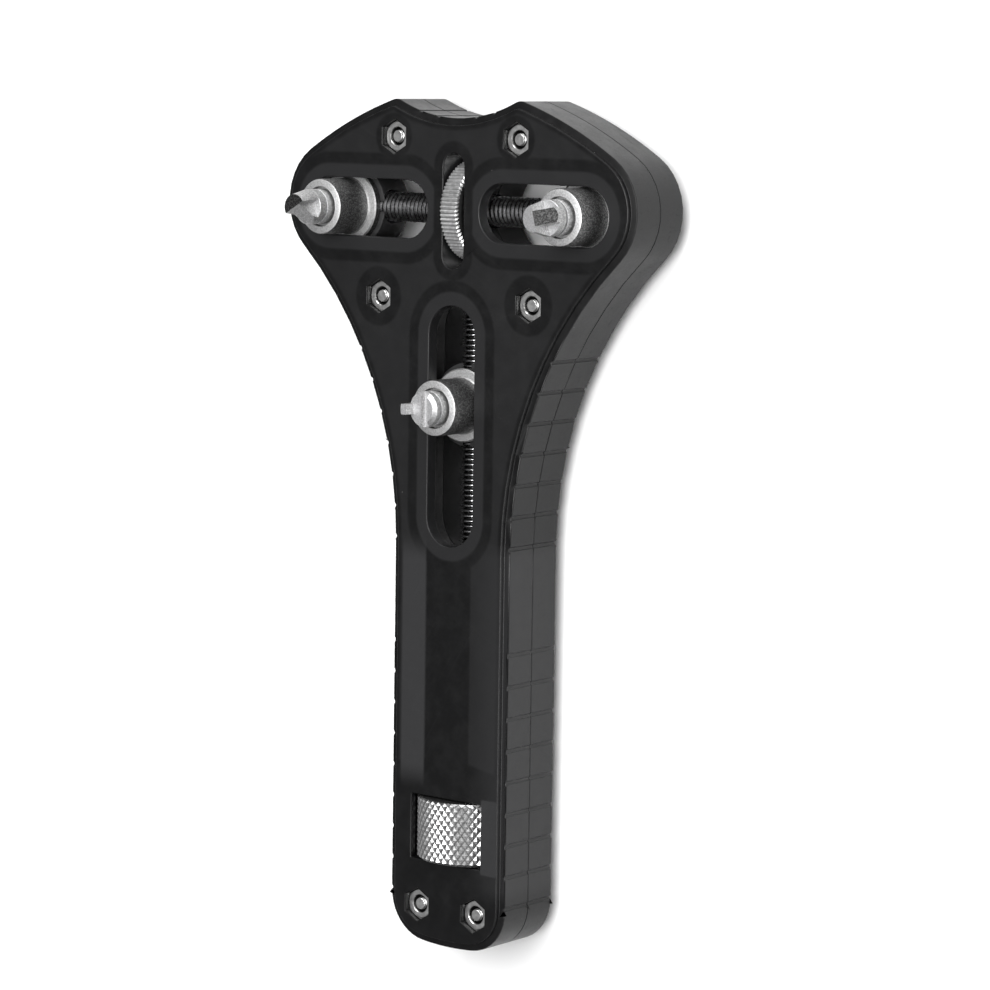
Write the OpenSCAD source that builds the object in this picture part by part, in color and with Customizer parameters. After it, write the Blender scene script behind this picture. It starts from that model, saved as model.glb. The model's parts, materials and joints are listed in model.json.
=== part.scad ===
// Three-jaw case back opener. Two moulded half shells carry a left/right-hand cross
// spindle for the two upper jaws and a lengthwise lead screw for the lower jaw.
// The tool lies on its back: +Y runs from the handle to the head, +Z out of the front.

/* [Body] */
// Length from the handle's end to the horns
body_len = 164; // [150:1:190]
// Thickness of the two closed shells
body_t = 16; // [15.8:0.2:20]
// Width of the handle
handle_w = 28.7; // [26:0.1:34]
// Width of the head
head_w = 86.1; // [82:0.1:100]
// Radius of the head's two outer corners
head_r = 12; // [10:0.5:15]
// Distance from the horns down to the head's corners
head_drop = 20.2; // [18:0.1:24]
// Distance from the horns down to where the sides begin to flare
flare_drop = 85.5; // [80:0.5:94]
// Radius of the handle's end corners
end_corner_r = 9; // [6:0.5:11]
// Radius of the shallow arc across the handle's end
end_arc_r = 60; // [40:1:120]
// Radius of the long arcs from the head's corners up to the horns
shoulder_r = 90; // [80:1:140]
// Half the distance between the horns' crests
horn_x = 15.3; // [14:0.1:18]
// Radius of the horns' crests
horn_r = 3; // [2.8:0.1:4]
// Depth of the hollow between the horns
notch_d = 3.4; // [2:0.1:5]
// Width of the step round both faces
step_w = 1.4; // [0.6:0.05:1.6]
// Depth of the step round both faces
step_d = 0.9; // [0.4:0.05:1.4]

/* [Moulding] */
// Thickness of the outer walls
wall_t = 2.2; // [1.6:0.1:2.6]
// Thickness of the front and rear plates
plate_t = 2.6; // [2:0.1:3.2]
// Thickness of the inner ribs
rib_t = 2.2; // [1.4:0.1:2.6]
// Radius of a grip groove
groove_r = 0.5; // [0.3:0.05:0.8]
// Depth of a grip groove
groove_depth = 0.25; // [0.15:0.05:0.5]
// Spacing of the lower grip grooves
low_groove_pitch = 6.17; // [5:0.01:7]
// Number of lower grip grooves on each side
low_groove_count = 9; // [4:1:9]
// Height of the lowest groove above the handle's end
low_groove_y = 9.75; // [9:0.05:14]
// Spacing of the upper grip grooves
top_groove_pitch = 6.0; // [5:0.01:7]
// Number of upper grip grooves on each side
top_groove_count = 7; // [4:1:7]
// Height of the lowest upper groove above the start of the flare
top_groove_rise = 1; // [0:0.1:5]

/* [Jaws] */
// Width of the jaw slots in the front plate
slot_w = 11.3; // [10.9:0.1:12]
// Gap between a jaw's post and its slot's sides
post_gap = 0.3; // [0.15:0.05:0.6]
// Height of a post's end above the front face
post_out = 5; // [3:0.1:8]
// Width of the flange's rim round the post
flange_rim = 1.75; // [1.2:0.05:2.2]
// Thickness of a post's flange
flange_t = 1.6; // [1.2:0.1:2]
// Gap between the flange and the front plate
flange_gap = 0.6; // [0.1:0.05:0.8]
// Width of the plastic shoe's rim beyond the flange
shoe_rim = 1; // [0.6:0.05:1.4]
// Thickness of the shoe under the screw
shoe_floor = 0.8; // [0.5:0.1:1.4]
// Gap between a shoe and the channel's sides
shoe_gap = 0.25; // [0.15:0.05:0.4]
// Distance from the head's side to an upper jaw as it stands
upper_jaw_in = 13.55; // [12:0.05:24]
// Distance from the head's side to an upper jaw at its outermost place
upper_max_in = 11.55; // [11:0.05:12]
// Least half distance between the upper jaws
upper_min_x = 12; // [11.9:0.1:13]
// Distance from the horns down to the upper jaws
upper_drop = 21; // [20:0.1:22]
// Length of the lower jaw's travel
lower_travel = 35.1; // [20:0.1:36]
// How far the lower jaw stands below its highest place
lower_jaw_back = 13.6; // [1:0.1:20]

/* [Bits] */
// Diameter of a bit's shank
shank_d = 6.5; // [5.6:0.1:6.8]
// How much wider the bit's head is than its shank
bit_step = 0.3; // [0.2:0.05:0.6]
// Depth of the socket's wider mouth, where the bit's head seats
mouth_depth = 1; // [0.6:0.1:1.4]
// Gap between the bit's head and the socket's mouth
mouth_gap = 0.4; // [0.2:0.05:0.6]
// Height of the turned neck under the head
neck_z = 1.5; // [0.8:0.1:2]
// Width of the turned neck
neck_w = 0.5; // [0.3:0.05:0.8]
// Diameter of a claw's tip
tip_d = 5; // [4:0.1:6]
// Height of a bit above its post
bit_out = 7.4; // [6:0.1:9]
// Height of a bit's shoulder above the post
bit_shoulder = 3.6; // [2.6:0.1:4]
// Chamfer of the lower bit's head
head_chamfer = 0.7; // [0.4:0.05:1]
// Width of a claw's sloping tongue
tongue_w = 2.8; // [2:0.1:3.4]
// Width of the lower bit's lug
lug_w = 2; // [1.4:0.1:2.6]
// Thickness of the lower bit's lug
lug_t = 1.4; // [1:0.1:1.8]
// Height of the lower bit's lug above the shoulder
lug_out = 2.1; // [1:0.1:3]
// Depth of a bit's socket in the post
socket_depth = 7.6; // [6:0.1:7.8]
// Width of the lower bit's cross slot
bit_slot_w = 1.4; // [0.8:0.1:1.8]
// Depth of the lower bit's cross slot
bit_slot_d = 1; // [0.6:0.1:1.6]
// Radial clearance of the shank in its socket
socket_clear = 0.05; // [0.02:0.01:0.09]
// Diameter of the friction ring's cord
ring_cord = 0.9; // [0.7:0.05:1.1]

/* [Screws] */
// Outside diameter of the cross spindle and the lead screw
screw_d = 5.8; // [5:0.1:5.9]
// Radial clearance of both screws in the jaws
thread_clear = 0.05; // [0.02:0.01:0.1]
// Diameter of the plain journals at the screws' ends
journal_d = 4; // [3:0.1:4.6]
// Radial clearance of a journal in the shells
journal_clear = 0.05; // [0.02:0.01:0.1]
// Radial clearance of both screws in the ribs they pass
pass_clear = 0.4; // [0.2:0.05:0.6]
// Diameter of the thumbwheel
wheel_d = 19.5; // [18:0.1:21]
// Width of the thumbwheel
wheel_w = 4.4; // [3.6:0.1:4.6]
// Gap between the thumbwheel's faces and its slot
wheel_gap = 0.35; // [0.3:0.05:0.5]
// Gap between the thumbwheel's rim and the ends of its slot
wheel_end_gap = 1.25; // [1:0.05:2]
// Diameter of the cross pin in the thumbwheel
wheel_pin_d = 1.5; // [1:0.1:2]
// Diameter of the knurled knob
knob_d = 21.4; // [20:0.1:22]
// Length of the knurled knob
knob_len = 12.2; // [10:0.1:12.4]
// Height of the knob's centre above the handle's end
knob_y = 23.1; // [22:0.1:26]
// Width of the knob's window
window_w = 17.5; // [16.8:0.1:18.4]
// Gap between the knob's ends and its window
knob_end_gap = 0.3; // [0.3:0.05:0.6]
// Radial clearance round the knob inside the shells
knob_clear = 0.4; // [0.3:0.05:0.6]
// Chamfer of the knob's and the thumbwheel's edges
knurl_chamfer = 0.5; // [0.2:0.05:0.8]
// Diameter of the cross pin in the knob
knob_pin_d = 2; // [1.5:0.1:2.5]
// Distance from the lower channel to the lead screw's top shoulder
lead_end_gap = 0.6; // [0.3:0.1:1]
// Length of the lead screw's top journal
lead_top_journal = 2.6; // [2:0.1:3]
// Length of the lead screw's tail journal
tail_journal = 4.2; // [3:0.1:4.4]

/* [Fasteners] */
// Thread diameter of the case screws
case_screw_d = 3; // [2.5:0.5:3]
// Width across flats of the nuts
nut_af = 5.5; // [5:0.1:5.5]
// Thickness of the nuts
nut_t = 2.4; // [2:0.1:2.6]
// Depth of the nuts' outer faces below the front face
nut_sink = 1.05; // [0.6:0.05:1.4]
// Width of a nut's recess beyond the nut
recess_clear = 0.3; // [0.2:0.05:0.5]
// Diameter of the screw heads
screw_head_d = 5.6; // [5:0.1:5.8]
// Height of the screw heads
screw_head_t = 2; // [1.6:0.1:2.1]
// Depth of the screw heads' counterbores
counterbore_depth = 2.4; // [2.3:0.1:2.6]
// Diameter of the bosses round the middle screws
boss_d = 11.5; // [10:0.1:12]
// Diameter of the bosses at the head's top and the handle's end
small_boss_d = 9; // [8:0.1:9.6]
// Half spacing of the screws at the top of the head
top_screw_x = 15.04; // [14.8:0.02:15.6]
// Distance from the horns down to the top screws
top_screw_drop = 7.15; // [6.8:0.05:7.5]
// Half spacing of the middle screws
mid_screw_x = 18.58; // [18:0.02:20]
// Distance from the horns down to the middle screws
mid_screw_drop = 38; // [37:0.1:40]
// Half spacing of the screws at the handle's end
end_screw_x = 7.09; // [6.6:0.01:7.6]
// Height of the screws at the handle's end
end_screw_y = 7.5; // [7:0.1:8]

/* [Hidden] */
$fn = 64;
eps = 0.01;
arc_steps = 10;
half_t = body_t / 2;
half_handle = handle_w / 2;
mid_z = max(knob_d, wheel_d, body_t) / 2;
head_x = head_w / 2 - head_r;
head_y = body_len - head_drop;
flare_y = body_len - flare_drop;
inner_z = half_t - plate_t;
// Jaws: each part is sized from the slot it slides in
slot_r = slot_w / 2;
post_d = slot_w - 2 * post_gap;
body_d = post_d + 0.3;
flange_d = post_d + 2 * flange_rim;
flange_z = inner_z - flange_gap - flange_t;
shoe_d = flange_d + 2 * shoe_rim;
shoe_low = screw_d / 2 + pass_clear + shoe_floor;
body_low = shoe_low + 0.2;
body_fit = 0.02;
// Channel that holds the shoes
channel_r = shoe_d / 2 + shoe_gap;
wheel_slot_w = wheel_w + 2 * wheel_gap;
wheel_slot_len = wheel_d + 2 * wheel_end_gap;
window_len = knob_len + 2 * knob_end_gap;
upper_y = body_len - upper_drop;
upper_jaw_x = head_w / 2 - upper_jaw_in;
upper_max_x = head_w / 2 - upper_max_in;
bearing_wall = 1.05;
lower_max_y = upper_y - wheel_slot_len / 2 - channel_r - lead_end_gap - lead_top_journal - bearing_wall;
lower_min_y = lower_max_y - lower_travel;
lower_jaw_y = lower_max_y - lower_jaw_back;
// Flare: an arc that leaves the handle's side and meets the head's corner
flare_dx = half_handle - head_x;
flare_dy = flare_y - head_y;
flare_r = (flare_dx * flare_dx + flare_dy * flare_dy - head_r * head_r) / (2 * (head_r - flare_dx));
flare_c = [half_handle + flare_r, flare_y];
head_c = [head_x, head_y];
horn_c = [horn_x, body_len - horn_r];
// Hollow between the horns: one arc that meets both crests
notch_y = body_len - notch_d;
notch_rise = notch_d - horn_r;
notch_r = (horn_x * horn_x + notch_rise * notch_rise - horn_r * horn_r) / (2 * (horn_r + notch_rise));
notch_c = [0, notch_y + notch_r];
shoulder_c = meet(head_c, shoulder_r - head_r, horn_c, shoulder_r - horn_r);
end_c = [0, end_arc_r];
corner_x = half_handle - end_corner_r;
corner_c = [corner_x, end_arc_r - sqrt(pow(end_arc_r - end_corner_r, 2) - corner_x * corner_x)];
horn_groove_x = [4.6, 8.9];
// Shoulders and ends of both screws
end_play = 0.1;
journal_room = 0.2;
spindle_shoulder = upper_max_x + channel_r + end_play;
spindle_end = head_w / 2 - 1.5;
washer_t = 0.25;
washer_gap = 0.025;
washer_bore = screw_d + 0.1;
washer_d = screw_d + 4;
pin_fit = 0.02;
pin_sink = 0.7;
lead_top = lower_max_y + channel_r + lead_end_gap;
knob_low = knob_y - knob_len / 2;
knob_high = knob_y + knob_len / 2;
window_low = knob_y - window_len / 2;
window_high = knob_y + window_len / 2;
tail_low = window_low - tail_journal;
post_top = half_t + post_out;
socket_d = shank_d + 2 * socket_clear;
socket_floor = post_top - socket_depth;
bit_d = shank_d + bit_step;
bit_low = socket_floor + 0.2;
bit_seat = post_top - mouth_depth;
bit_face = post_top + bit_shoulder;
// Friction ring in its groove on the shank
ring_z = socket_floor + 3;
ring_r = socket_d / 2 - ring_cord / 2 - eps;
groove_side = ring_cord + 0.04;
nut_out_z = half_t - nut_sink;
nut_in_z = nut_out_z - nut_t;
counterbore_d = screw_head_d + 0.8;
screw_hole_d = case_screw_d + 0.3;
cross_len = screw_head_d / 2 + 0.2;
cross_w = 0.7;
cross_depth = 1.1;
top_screw_y = body_len - top_screw_drop;
mid_screw_y = body_len - mid_screw_drop;
screw_sites = [for (s = [-1, 1]) [s * top_screw_x, top_screw_y, small_boss_d],
               for (s = [-1, 1]) [s * mid_screw_x, mid_screw_y, boss_d],
               for (s = [-1, 1]) [s * end_screw_x, end_screw_y, small_boss_d]];
plastic = [0.13, 0.13, 0.14];
steel = [0.78, 0.78, 0.8];

// ---- outline ----
function angle_to(a, b) = atan2(b[1] - a[1], b[0] - a[0]);
function arc(c, r, a0, a1) = [for (i = [0:arc_steps]) c + r * [cos(a0 + (a1 - a0) * i / arc_steps),
                                                              sin(a0 + (a1 - a0) * i / arc_steps)]];
// Left-hand meeting point of two circles, seen from the first centre to the second
function meet(a, ra, b, rb) =
    let (d = norm(b - a), along = (ra * ra - rb * rb + d * d) / (2 * d),
         off = sqrt(ra * ra - along * along), u = (b - a) / d)
    a + along * u + off * [-u[1], u[0]];
// Right half of the body's outline, moved inward by d
function half_outline(d) = concat(
    arc(end_c, end_arc_r - d, -90, angle_to(end_c, corner_c)),
    arc(corner_c, end_corner_r - d, angle_to(end_c, corner_c), 0),
    arc(flare_c, flare_r + d, 180, angle_to(flare_c, head_c)),
    arc(head_c, head_r - d, angle_to(flare_c, head_c) - 180, angle_to(shoulder_c, head_c)),
    arc(shoulder_c, shoulder_r - d, angle_to(shoulder_c, head_c), angle_to(shoulder_c, horn_c)),
    arc(horn_c, horn_r - d, angle_to(shoulder_c, horn_c), angle_to(horn_c, notch_c)),
    arc(notch_c, notch_r + d, angle_to(notch_c, horn_c), -90));
// Both halves joined, leaving out the doubled points on the centre line and at each join
function tidy(p) = [for (i = [1:len(p) - 1]) if (norm(p[i] - p[i - 1]) > 0.001) p[i]];
function outline(d) =
    let (h = tidy(half_outline(d)), n = len(h))
    concat(h, [for (i = [n - 2:-1:0]) [-h[i][0], h[i][1]]], [[0, d]]);
// Half width of the body at a height on its handle or flare
function side_x(y) = y <= flare_y ? half_handle : flare_c[0] - sqrt(flare_r * flare_r - pow(y - flare_y, 2));

// ---- helpers ----
module place() {
    translate([0, -body_len / 2, mid_z]) children();
}
// A straight slot along X or Y with true round ends
module slot_solid(a, b, r, z0, z1) {
    length = norm(b - a);
    translate([a[0], a[1], z0]) cylinder(r = r, h = z1 - z0);
    translate([b[0], b[1], z0]) cylinder(r = r, h = z1 - z0);
    translate([a[0], a[1], z0]) rotate(angle_to(a, b)) translate([0, -r, 0]) cube([length, 2 * r, z1 - z0]);
}
module upper_slots(r, z0, z1) {
    for (s = [-1, 1])
        slot_solid([s * upper_min_x, upper_y], [s * upper_max_x, upper_y], r, z0, z1);
}
module lower_slot(r, z0, z1) {
    slot_solid([0, lower_min_y], [0, lower_max_y], r, z0, z1);
}
module wheel_slot(r, extra, z0, z1) {
    reach = wheel_slot_len / 2 + extra - r;
    slot_solid([0, upper_y - reach], [0, upper_y + reach], r, z0, z1);
}
module along_x(d, x0, x1) {
    translate([x0, upper_y, 0]) rotate([0, 90, 0]) cylinder(d = d, h = x1 - x0);
}
module along_y(d, y0, y1) {
    translate([0, y0, 0]) rotate([-90, 0, 0]) cylinder(d = d, h = y1 - y0);
}
module hexagon(af, z0, z1) {
    translate([0, 0, z0]) rotate(90) cylinder(d = af / cos(30), h = z1 - z0, $fn = 6);
}
module at_screws() {
    for (p = screw_sites) translate([p[0], p[1], 0]) children();
}

// ---- shells ----
// Section of one half: the outline with its grip grooves and the steps between the horns
module body_section() {
    lows = [for (i = [0:low_groove_count - 1]) low_groove_y + i * low_groove_pitch];
    tops = [for (i = [0:top_groove_count - 1]) flare_y + top_groove_rise + i * top_groove_pitch];
    out = groove_r - groove_depth;
    difference() {
        polygon(outline(0));
        for (y = concat(lows, tops), s = [-1, 1])
            translate([s * (side_x(y) + out), y]) circle(groove_r, $fn = 24);
        for (x = horn_groove_x, s = [-1, 1])
            translate([s * x, notch_c[1] - sqrt(notch_r * notch_r - x * x) + out]) circle(groove_r, $fn = 24);
    }
}
// One half of the body as a block with a stepped edge at +Z
module blank() {
    wall_top = half_t - step_d;
    linear_extrude(wall_top) body_section();
    translate([0, 0, wall_top - eps]) linear_extrude(step_d + eps) polygon(outline(step_w));
}
// Everything that stands inside the outer wall, before the slots are cut
module inner_ribs() {
    rib_h = inner_z + eps;
    upper_slots(channel_r + rib_t, 0, rib_h);
    lower_slot(channel_r + rib_t, 0, rib_h);
    wheel_slot(wheel_slot_w / 2 + rib_t, rib_t, 0, rib_h);
    // Bay round the knob, the tail bearing and the two rails along the handle
    rib_box(knob_d / 2 + knob_clear + rib_t, window_low - rib_t, window_high + rib_t);
    rib_box(journal_d, tail_low - bearing_wall, window_low);
    for (s = [-1, 1])
        translate([s * (screw_d / 2 + pass_clear + rib_t / 2) - rib_t / 2, window_high, 0])
            cube([rib_t, lower_min_y - channel_r - window_high, rib_h]);
    // Bearing block above the lower channel
    rib_box(journal_d, lower_max_y + channel_r, lead_top + lead_top_journal + bearing_wall);
    for (p = screw_sites) translate([p[0], p[1], 0]) cylinder(d = p[2], h = rib_h);
}
// A block across the centre line, from the mid plane to the plate
module rib_box(half_w, y0, y1) {
    translate([-half_w, y0, 0]) cube([2 * half_w, y1 - y0, inner_z + eps]);
}
// Room for both screws and their journals
module screw_ways() {
    way_d = screw_d + 2 * pass_clear;
    bearing_d = journal_d + 2 * journal_clear;
    along_x(way_d, -spindle_shoulder, spindle_shoulder);
    along_x(bearing_d, -spindle_end - journal_room, spindle_end + journal_room);
    along_y(way_d, window_low, lead_top);
    along_y(bearing_d, tail_low - journal_room, lead_top + lead_top_journal + journal_room);
    along_y(knob_d + 2 * knob_clear, window_low, window_high);
}
// The two shells are alike but for what is cut at the outer face
module shell() {
    difference() {
        union() {
            difference() {
                blank();
                translate([0, 0, -eps]) linear_extrude(inner_z + eps) polygon(outline(wall_t));
            }
            intersection() {
                inner_ribs();
                linear_extrude(inner_z + eps) polygon(outline(wall_t - eps));
            }
        }
        upper_slots(channel_r, -eps, inner_z);
        lower_slot(channel_r, -eps, inner_z);
        wheel_slot(wheel_slot_w / 2, 0, -eps, half_t + 1);
        translate([-window_w / 2, window_low, -eps]) cube([window_w, window_len, half_t + 1]);
        screw_ways();
        at_screws() translate([0, 0, -eps]) cylinder(d = screw_hole_d, h = half_t + 1);
        children();
    }
}
module front_shell() color(plastic) place() {
    shell() {
        upper_slots(slot_r, 0, half_t + 1);
        lower_slot(slot_r, 0, half_t + 1);
        at_screws() hexagon(nut_af + recess_clear, nut_in_z, half_t + 1);
    }
}
module rear_shell() color(plastic) place() mirror([0, 0, 1]) {
    shell() {
        upper_slots(channel_r, 0, half_t + 1);
        lower_slot(channel_r, 0, half_t + 1);
        at_screws() translate([0, 0, half_t - counterbore_depth])
            cylinder(d = counterbore_d, h = counterbore_depth + 1);
    }
}

// ---- fasteners ----
module case_screws() color(steel) place() at_screws() {
    seat = -half_t + counterbore_depth;
    translate([0, 0, seat - eps]) cylinder(d = case_screw_d - 2 * pin_fit, h = nut_out_z - seat + eps);
    difference() {
        translate([0, 0, seat - screw_head_t]) cylinder(d = screw_head_d, h = screw_head_t);
        for (a = [0, 90]) rotate(a) translate([-cross_len / 2, -cross_w / 2, seat - screw_head_t - eps])
            cube([cross_len, cross_w, cross_depth]);
    }
}
module case_nuts() color(steel) place() at_screws() difference() {
    hexagon(nut_af, nut_in_z, nut_out_z);
    translate([0, 0, nut_in_z - eps]) cylinder(d = case_screw_d, h = nut_t + 2 * eps);
}

// ---- cross spindle and thumbwheel ----
// A turned ring about Z with both outer edges chamfered
module turned_ring(bore, d, h) {
    rotate_extrude($fn = 96)
        polygon([[bore / 2, -h / 2], [d / 2 - knurl_chamfer, -h / 2], [d / 2, knurl_chamfer - h / 2],
                 [d / 2, h / 2 - knurl_chamfer], [d / 2 - knurl_chamfer, h / 2], [bore / 2, h / 2]]);
}
module washer() difference() {
    cylinder(d = washer_d, h = washer_t);
    translate([0, 0, -1]) cylinder(d = washer_bore, h = washer_t + 2);
}
module cross_spindle() color([0.2, 0.2, 0.21]) place() difference() {
    union() {
        along_x(screw_d, end_play - spindle_shoulder, spindle_shoulder - end_play);
        along_x(journal_d, -spindle_end, spindle_end);
    }
    translate([0, upper_y - screw_d, 0]) rotate([-90, 0, 0]) cylinder(d = wheel_pin_d, h = 2 * screw_d);
}
module thumbwheel() color(steel) place() difference() {
    translate([0, upper_y, 0]) rotate([0, 90, 0]) turned_ring(screw_d, wheel_d, wheel_w);
    along_y(wheel_pin_d, upper_y - wheel_d, upper_y + wheel_d);
}
module thumbwheel_pin() color(steel) place() {
    reach = wheel_d / 2 - pin_sink;
    along_y(wheel_pin_d - pin_fit, upper_y - reach, upper_y + reach);
}
module wheel_washers() color(steel) place() for (a = [-90, 90])
    translate([0, upper_y, 0]) rotate([0, a, 0]) translate([0, 0, wheel_w / 2 + washer_gap]) washer();

// ---- lead screw and knob ----
module lead_screw() color([0.5, 0.5, 0.52]) place() difference() {
    union() {
        along_y(screw_d, window_low + end_play, lead_top - end_play);
        along_y(journal_d, tail_low, lead_top + lead_top_journal);
    }
    translate([-screw_d, knob_y, 0]) rotate([0, 90, 0]) cylinder(d = knob_pin_d, h = 2 * screw_d);
}
module handle_knob() color(steel) place() translate([0, knob_y, 0]) difference() {
    rotate([-90, 0, 0]) turned_ring(screw_d, knob_d, knob_len);
    translate([-knob_d, 0, 0]) rotate([0, 90, 0]) cylinder(d = knob_pin_d, h = 2 * knob_d);
}
module knob_pin() color(steel) place() {
    reach = knob_d / 2 - pin_sink;
    translate([-reach, knob_y, 0]) rotate([0, 90, 0]) cylinder(d = knob_pin_d - pin_fit, h = 2 * reach);
}
module knob_washers() color(steel) place() for (a = [-90, 90])
    translate([0, knob_y, 0]) rotate([a, 0, 0]) translate([0, 0, knob_len / 2 + washer_gap]) washer();

// ---- jaws ----
// Post, flange and threaded body in one piece; the thread runs along X
module jaw_post() difference() {
    union() {
        translate([0, 0, -body_low]) cylinder(d = body_d, h = body_low + flange_z);
        translate([0, 0, flange_z]) cylinder(d = flange_d, h = flange_t);
        translate([0, 0, flange_z]) cylinder(d = post_d, h = post_top - flange_z);
    }
    translate([0, 0, socket_floor]) cylinder(d = socket_d, h = socket_depth + 1);
    translate([0, 0, bit_seat]) cylinder(d = bit_d + 2 * mouth_gap, h = mouth_depth + 1);
    rotate([0, 90, 0]) cylinder(d = screw_d + 2 * thread_clear, h = 2 * body_d, center = true);
}
module slide_shoe() difference() {
    translate([0, 0, -shoe_low]) cylinder(d = shoe_d, h = shoe_low + flange_z - body_fit);
    translate([0, 0, -body_t]) cylinder(d = body_d + 2 * body_fit, h = 2 * body_t);
    rotate([0, 90, 0]) cylinder(d = screw_d + 2 * pass_clear, h = 2 * shoe_d, center = true);
}
module at_left() place() translate([-upper_jaw_x, upper_y, 0]) children();
module at_right() place() translate([upper_jaw_x, upper_y, 0]) children();
module at_lower() place() translate([0, lower_jaw_y, 0]) rotate(90) children();

module left_jaw_post() color(steel) at_left() jaw_post();
module right_jaw_post() color(steel) at_right() jaw_post();
module lower_jaw_post() color(steel) at_lower() jaw_post();
module left_slide_shoe() color(plastic) at_left() slide_shoe();
module right_slide_shoe() color(plastic) at_right() slide_shoe();
module lower_slide_shoe() color(plastic) at_lower() slide_shoe();

// ---- bits ----
// A groove turned into a bit, down to an inner radius
module turned_groove(inner_r, z, w) {
    rotate_extrude() translate([inner_r, z]) square([bit_d, w]);
}
// Shank and head up to a height above the seat
module shank(head_top) difference() {
    union() {
        translate([0, 0, bit_low]) cylinder(d = shank_d, h = bit_seat - bit_low);
        translate([0, 0, bit_seat]) cylinder(d = bit_d, h = head_top - bit_seat);
    }
    turned_groove(ring_r - groove_side / 2, ring_z - groove_side / 2, groove_side);
    turned_groove(bit_d / 2 - neck_w, post_top + neck_z, neck_w);
}
// Half the head stands full height; a tongue slopes down across the other half
module claw_bit() {
    rise = bit_out - bit_shoulder;
    foot = bit_face - eps;
    shank(bit_face);
    intersection() {
        translate([0, 0, foot]) cylinder(d1 = bit_d, d2 = tip_d, h = rise + eps);
        union() {
            translate([-bit_d, -bit_d, foot]) cube([bit_d, 2 * bit_d, rise + 1]);
            translate([0, tongue_w / 2, foot]) rotate([90, 0, 0]) linear_extrude(tongue_w)
                polygon([[-1, 0], [bit_d, 0], [bit_d / 2, rise / 5], [0, rise], [-1, rise]]);
        }
    }
}
// Slotted head with a lug at its edge
module lug_bit() difference() {
    union() {
        shank(bit_face - head_chamfer);
        translate([0, 0, bit_face - head_chamfer - eps])
            cylinder(d1 = bit_d, d2 = bit_d - 2 * head_chamfer, h = head_chamfer + eps);
        intersection() {
            translate([0, 0, post_top + neck_z + 2 * neck_w]) cylinder(d = bit_d, h = bit_out);
            translate([-bit_d / 2, -lug_w / 2, post_top]) cube([lug_t, lug_w, bit_shoulder + lug_out]);
        }
    }
    translate([0, -bit_d, bit_face - bit_slot_d]) cube([bit_slot_w, 2 * bit_d, bit_slot_d + 1]);
}
module bit_ring() rotate_extrude() translate([ring_r, ring_z]) circle(d = ring_cord, $fn = 24);

module left_bit() color(steel) at_left() rotate(-60) claw_bit();
module right_bit() color(steel) at_right() rotate(15) claw_bit();
module lower_bit() color(steel) at_lower() rotate(-90) lug_bit();
module left_bit_ring() color([0.05, 0.05, 0.05]) at_left() bit_ring();
module right_bit_ring() color([0.05, 0.05, 0.05]) at_right() bit_ring();
module lower_bit_ring() color([0.05, 0.05, 0.05]) at_lower() bit_ring();

front_shell();
rear_shell();
case_screws();
case_nuts();
cross_spindle();
thumbwheel();
thumbwheel_pin();
wheel_washers();
lead_screw();
handle_knob();
knob_pin();
knob_washers();
left_jaw_post();
right_jaw_post();
lower_jaw_post();
left_slide_shoe();
right_slide_shoe();
lower_slide_shoe();
left_bit();
right_bit();
lower_bit();
left_bit_ring();
right_bit_ring();
lower_bit_ring();
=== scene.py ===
"""Builds the looks of a three-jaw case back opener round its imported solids.

Lengths in the classes are millimetres, with +Y from the handle to the head and +Z out of the front.
Pieces are modelled at that size, and Workshop.settle brings each one to metres when it is finished.
"""

import json
import logging
import math
from dataclasses import dataclass, field
from enum import Enum
from typing import Callable, Iterable, Sequence

import bpy
from mathutils import Matrix, Vector

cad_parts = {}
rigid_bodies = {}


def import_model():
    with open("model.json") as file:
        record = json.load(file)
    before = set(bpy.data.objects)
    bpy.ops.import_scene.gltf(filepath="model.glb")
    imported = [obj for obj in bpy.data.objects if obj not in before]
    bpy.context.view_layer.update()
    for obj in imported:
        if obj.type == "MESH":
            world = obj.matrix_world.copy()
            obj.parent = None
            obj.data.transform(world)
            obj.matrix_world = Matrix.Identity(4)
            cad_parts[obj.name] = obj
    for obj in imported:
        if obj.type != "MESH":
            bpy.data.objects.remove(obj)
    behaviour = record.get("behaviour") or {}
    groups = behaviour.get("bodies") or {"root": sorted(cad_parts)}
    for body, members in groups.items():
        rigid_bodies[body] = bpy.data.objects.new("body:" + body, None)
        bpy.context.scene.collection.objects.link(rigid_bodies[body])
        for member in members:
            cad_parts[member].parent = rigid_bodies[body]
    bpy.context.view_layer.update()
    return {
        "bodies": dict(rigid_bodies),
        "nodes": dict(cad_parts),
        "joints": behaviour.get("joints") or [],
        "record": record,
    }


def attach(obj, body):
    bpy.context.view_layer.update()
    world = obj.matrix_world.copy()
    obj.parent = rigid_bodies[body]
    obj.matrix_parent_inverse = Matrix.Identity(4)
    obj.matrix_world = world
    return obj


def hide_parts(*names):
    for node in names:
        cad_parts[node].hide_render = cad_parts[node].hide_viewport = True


LOG = logging.getLogger("case_back_opener")
MM = 0.001
MID_Z = 10.7  # height of the parting plane
UPPER_Y = 61.0  # where the cross spindle lies
SCREW_SITES = (
    (-15.04, 74.85), (15.04, 74.85), (-18.58, 44.0), (18.58, 44.0), (-7.09, -74.5), (7.09, -74.5))
ONE_FACE = 0.5  # faces that meet at less than this many degrees are one face
GRAIN_SPAN = (0.3, 0.7)  # where most of the grain's values lie

Socket = bpy.types.NodeSocket
Object = bpy.types.Object
Point = tuple[float, float, float]
Colour = tuple[float, float, float]
Span = tuple[float, float]


class Hand(Enum):
    """Which way a thread winds."""

    RIGHT = 1
    LEFT = -1


class Body(Enum):
    """The moving bodies that pieces ride on."""

    HOUSING = "housing"
    SPINDLE = "spindle"
    SCREW = "screw"


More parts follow.
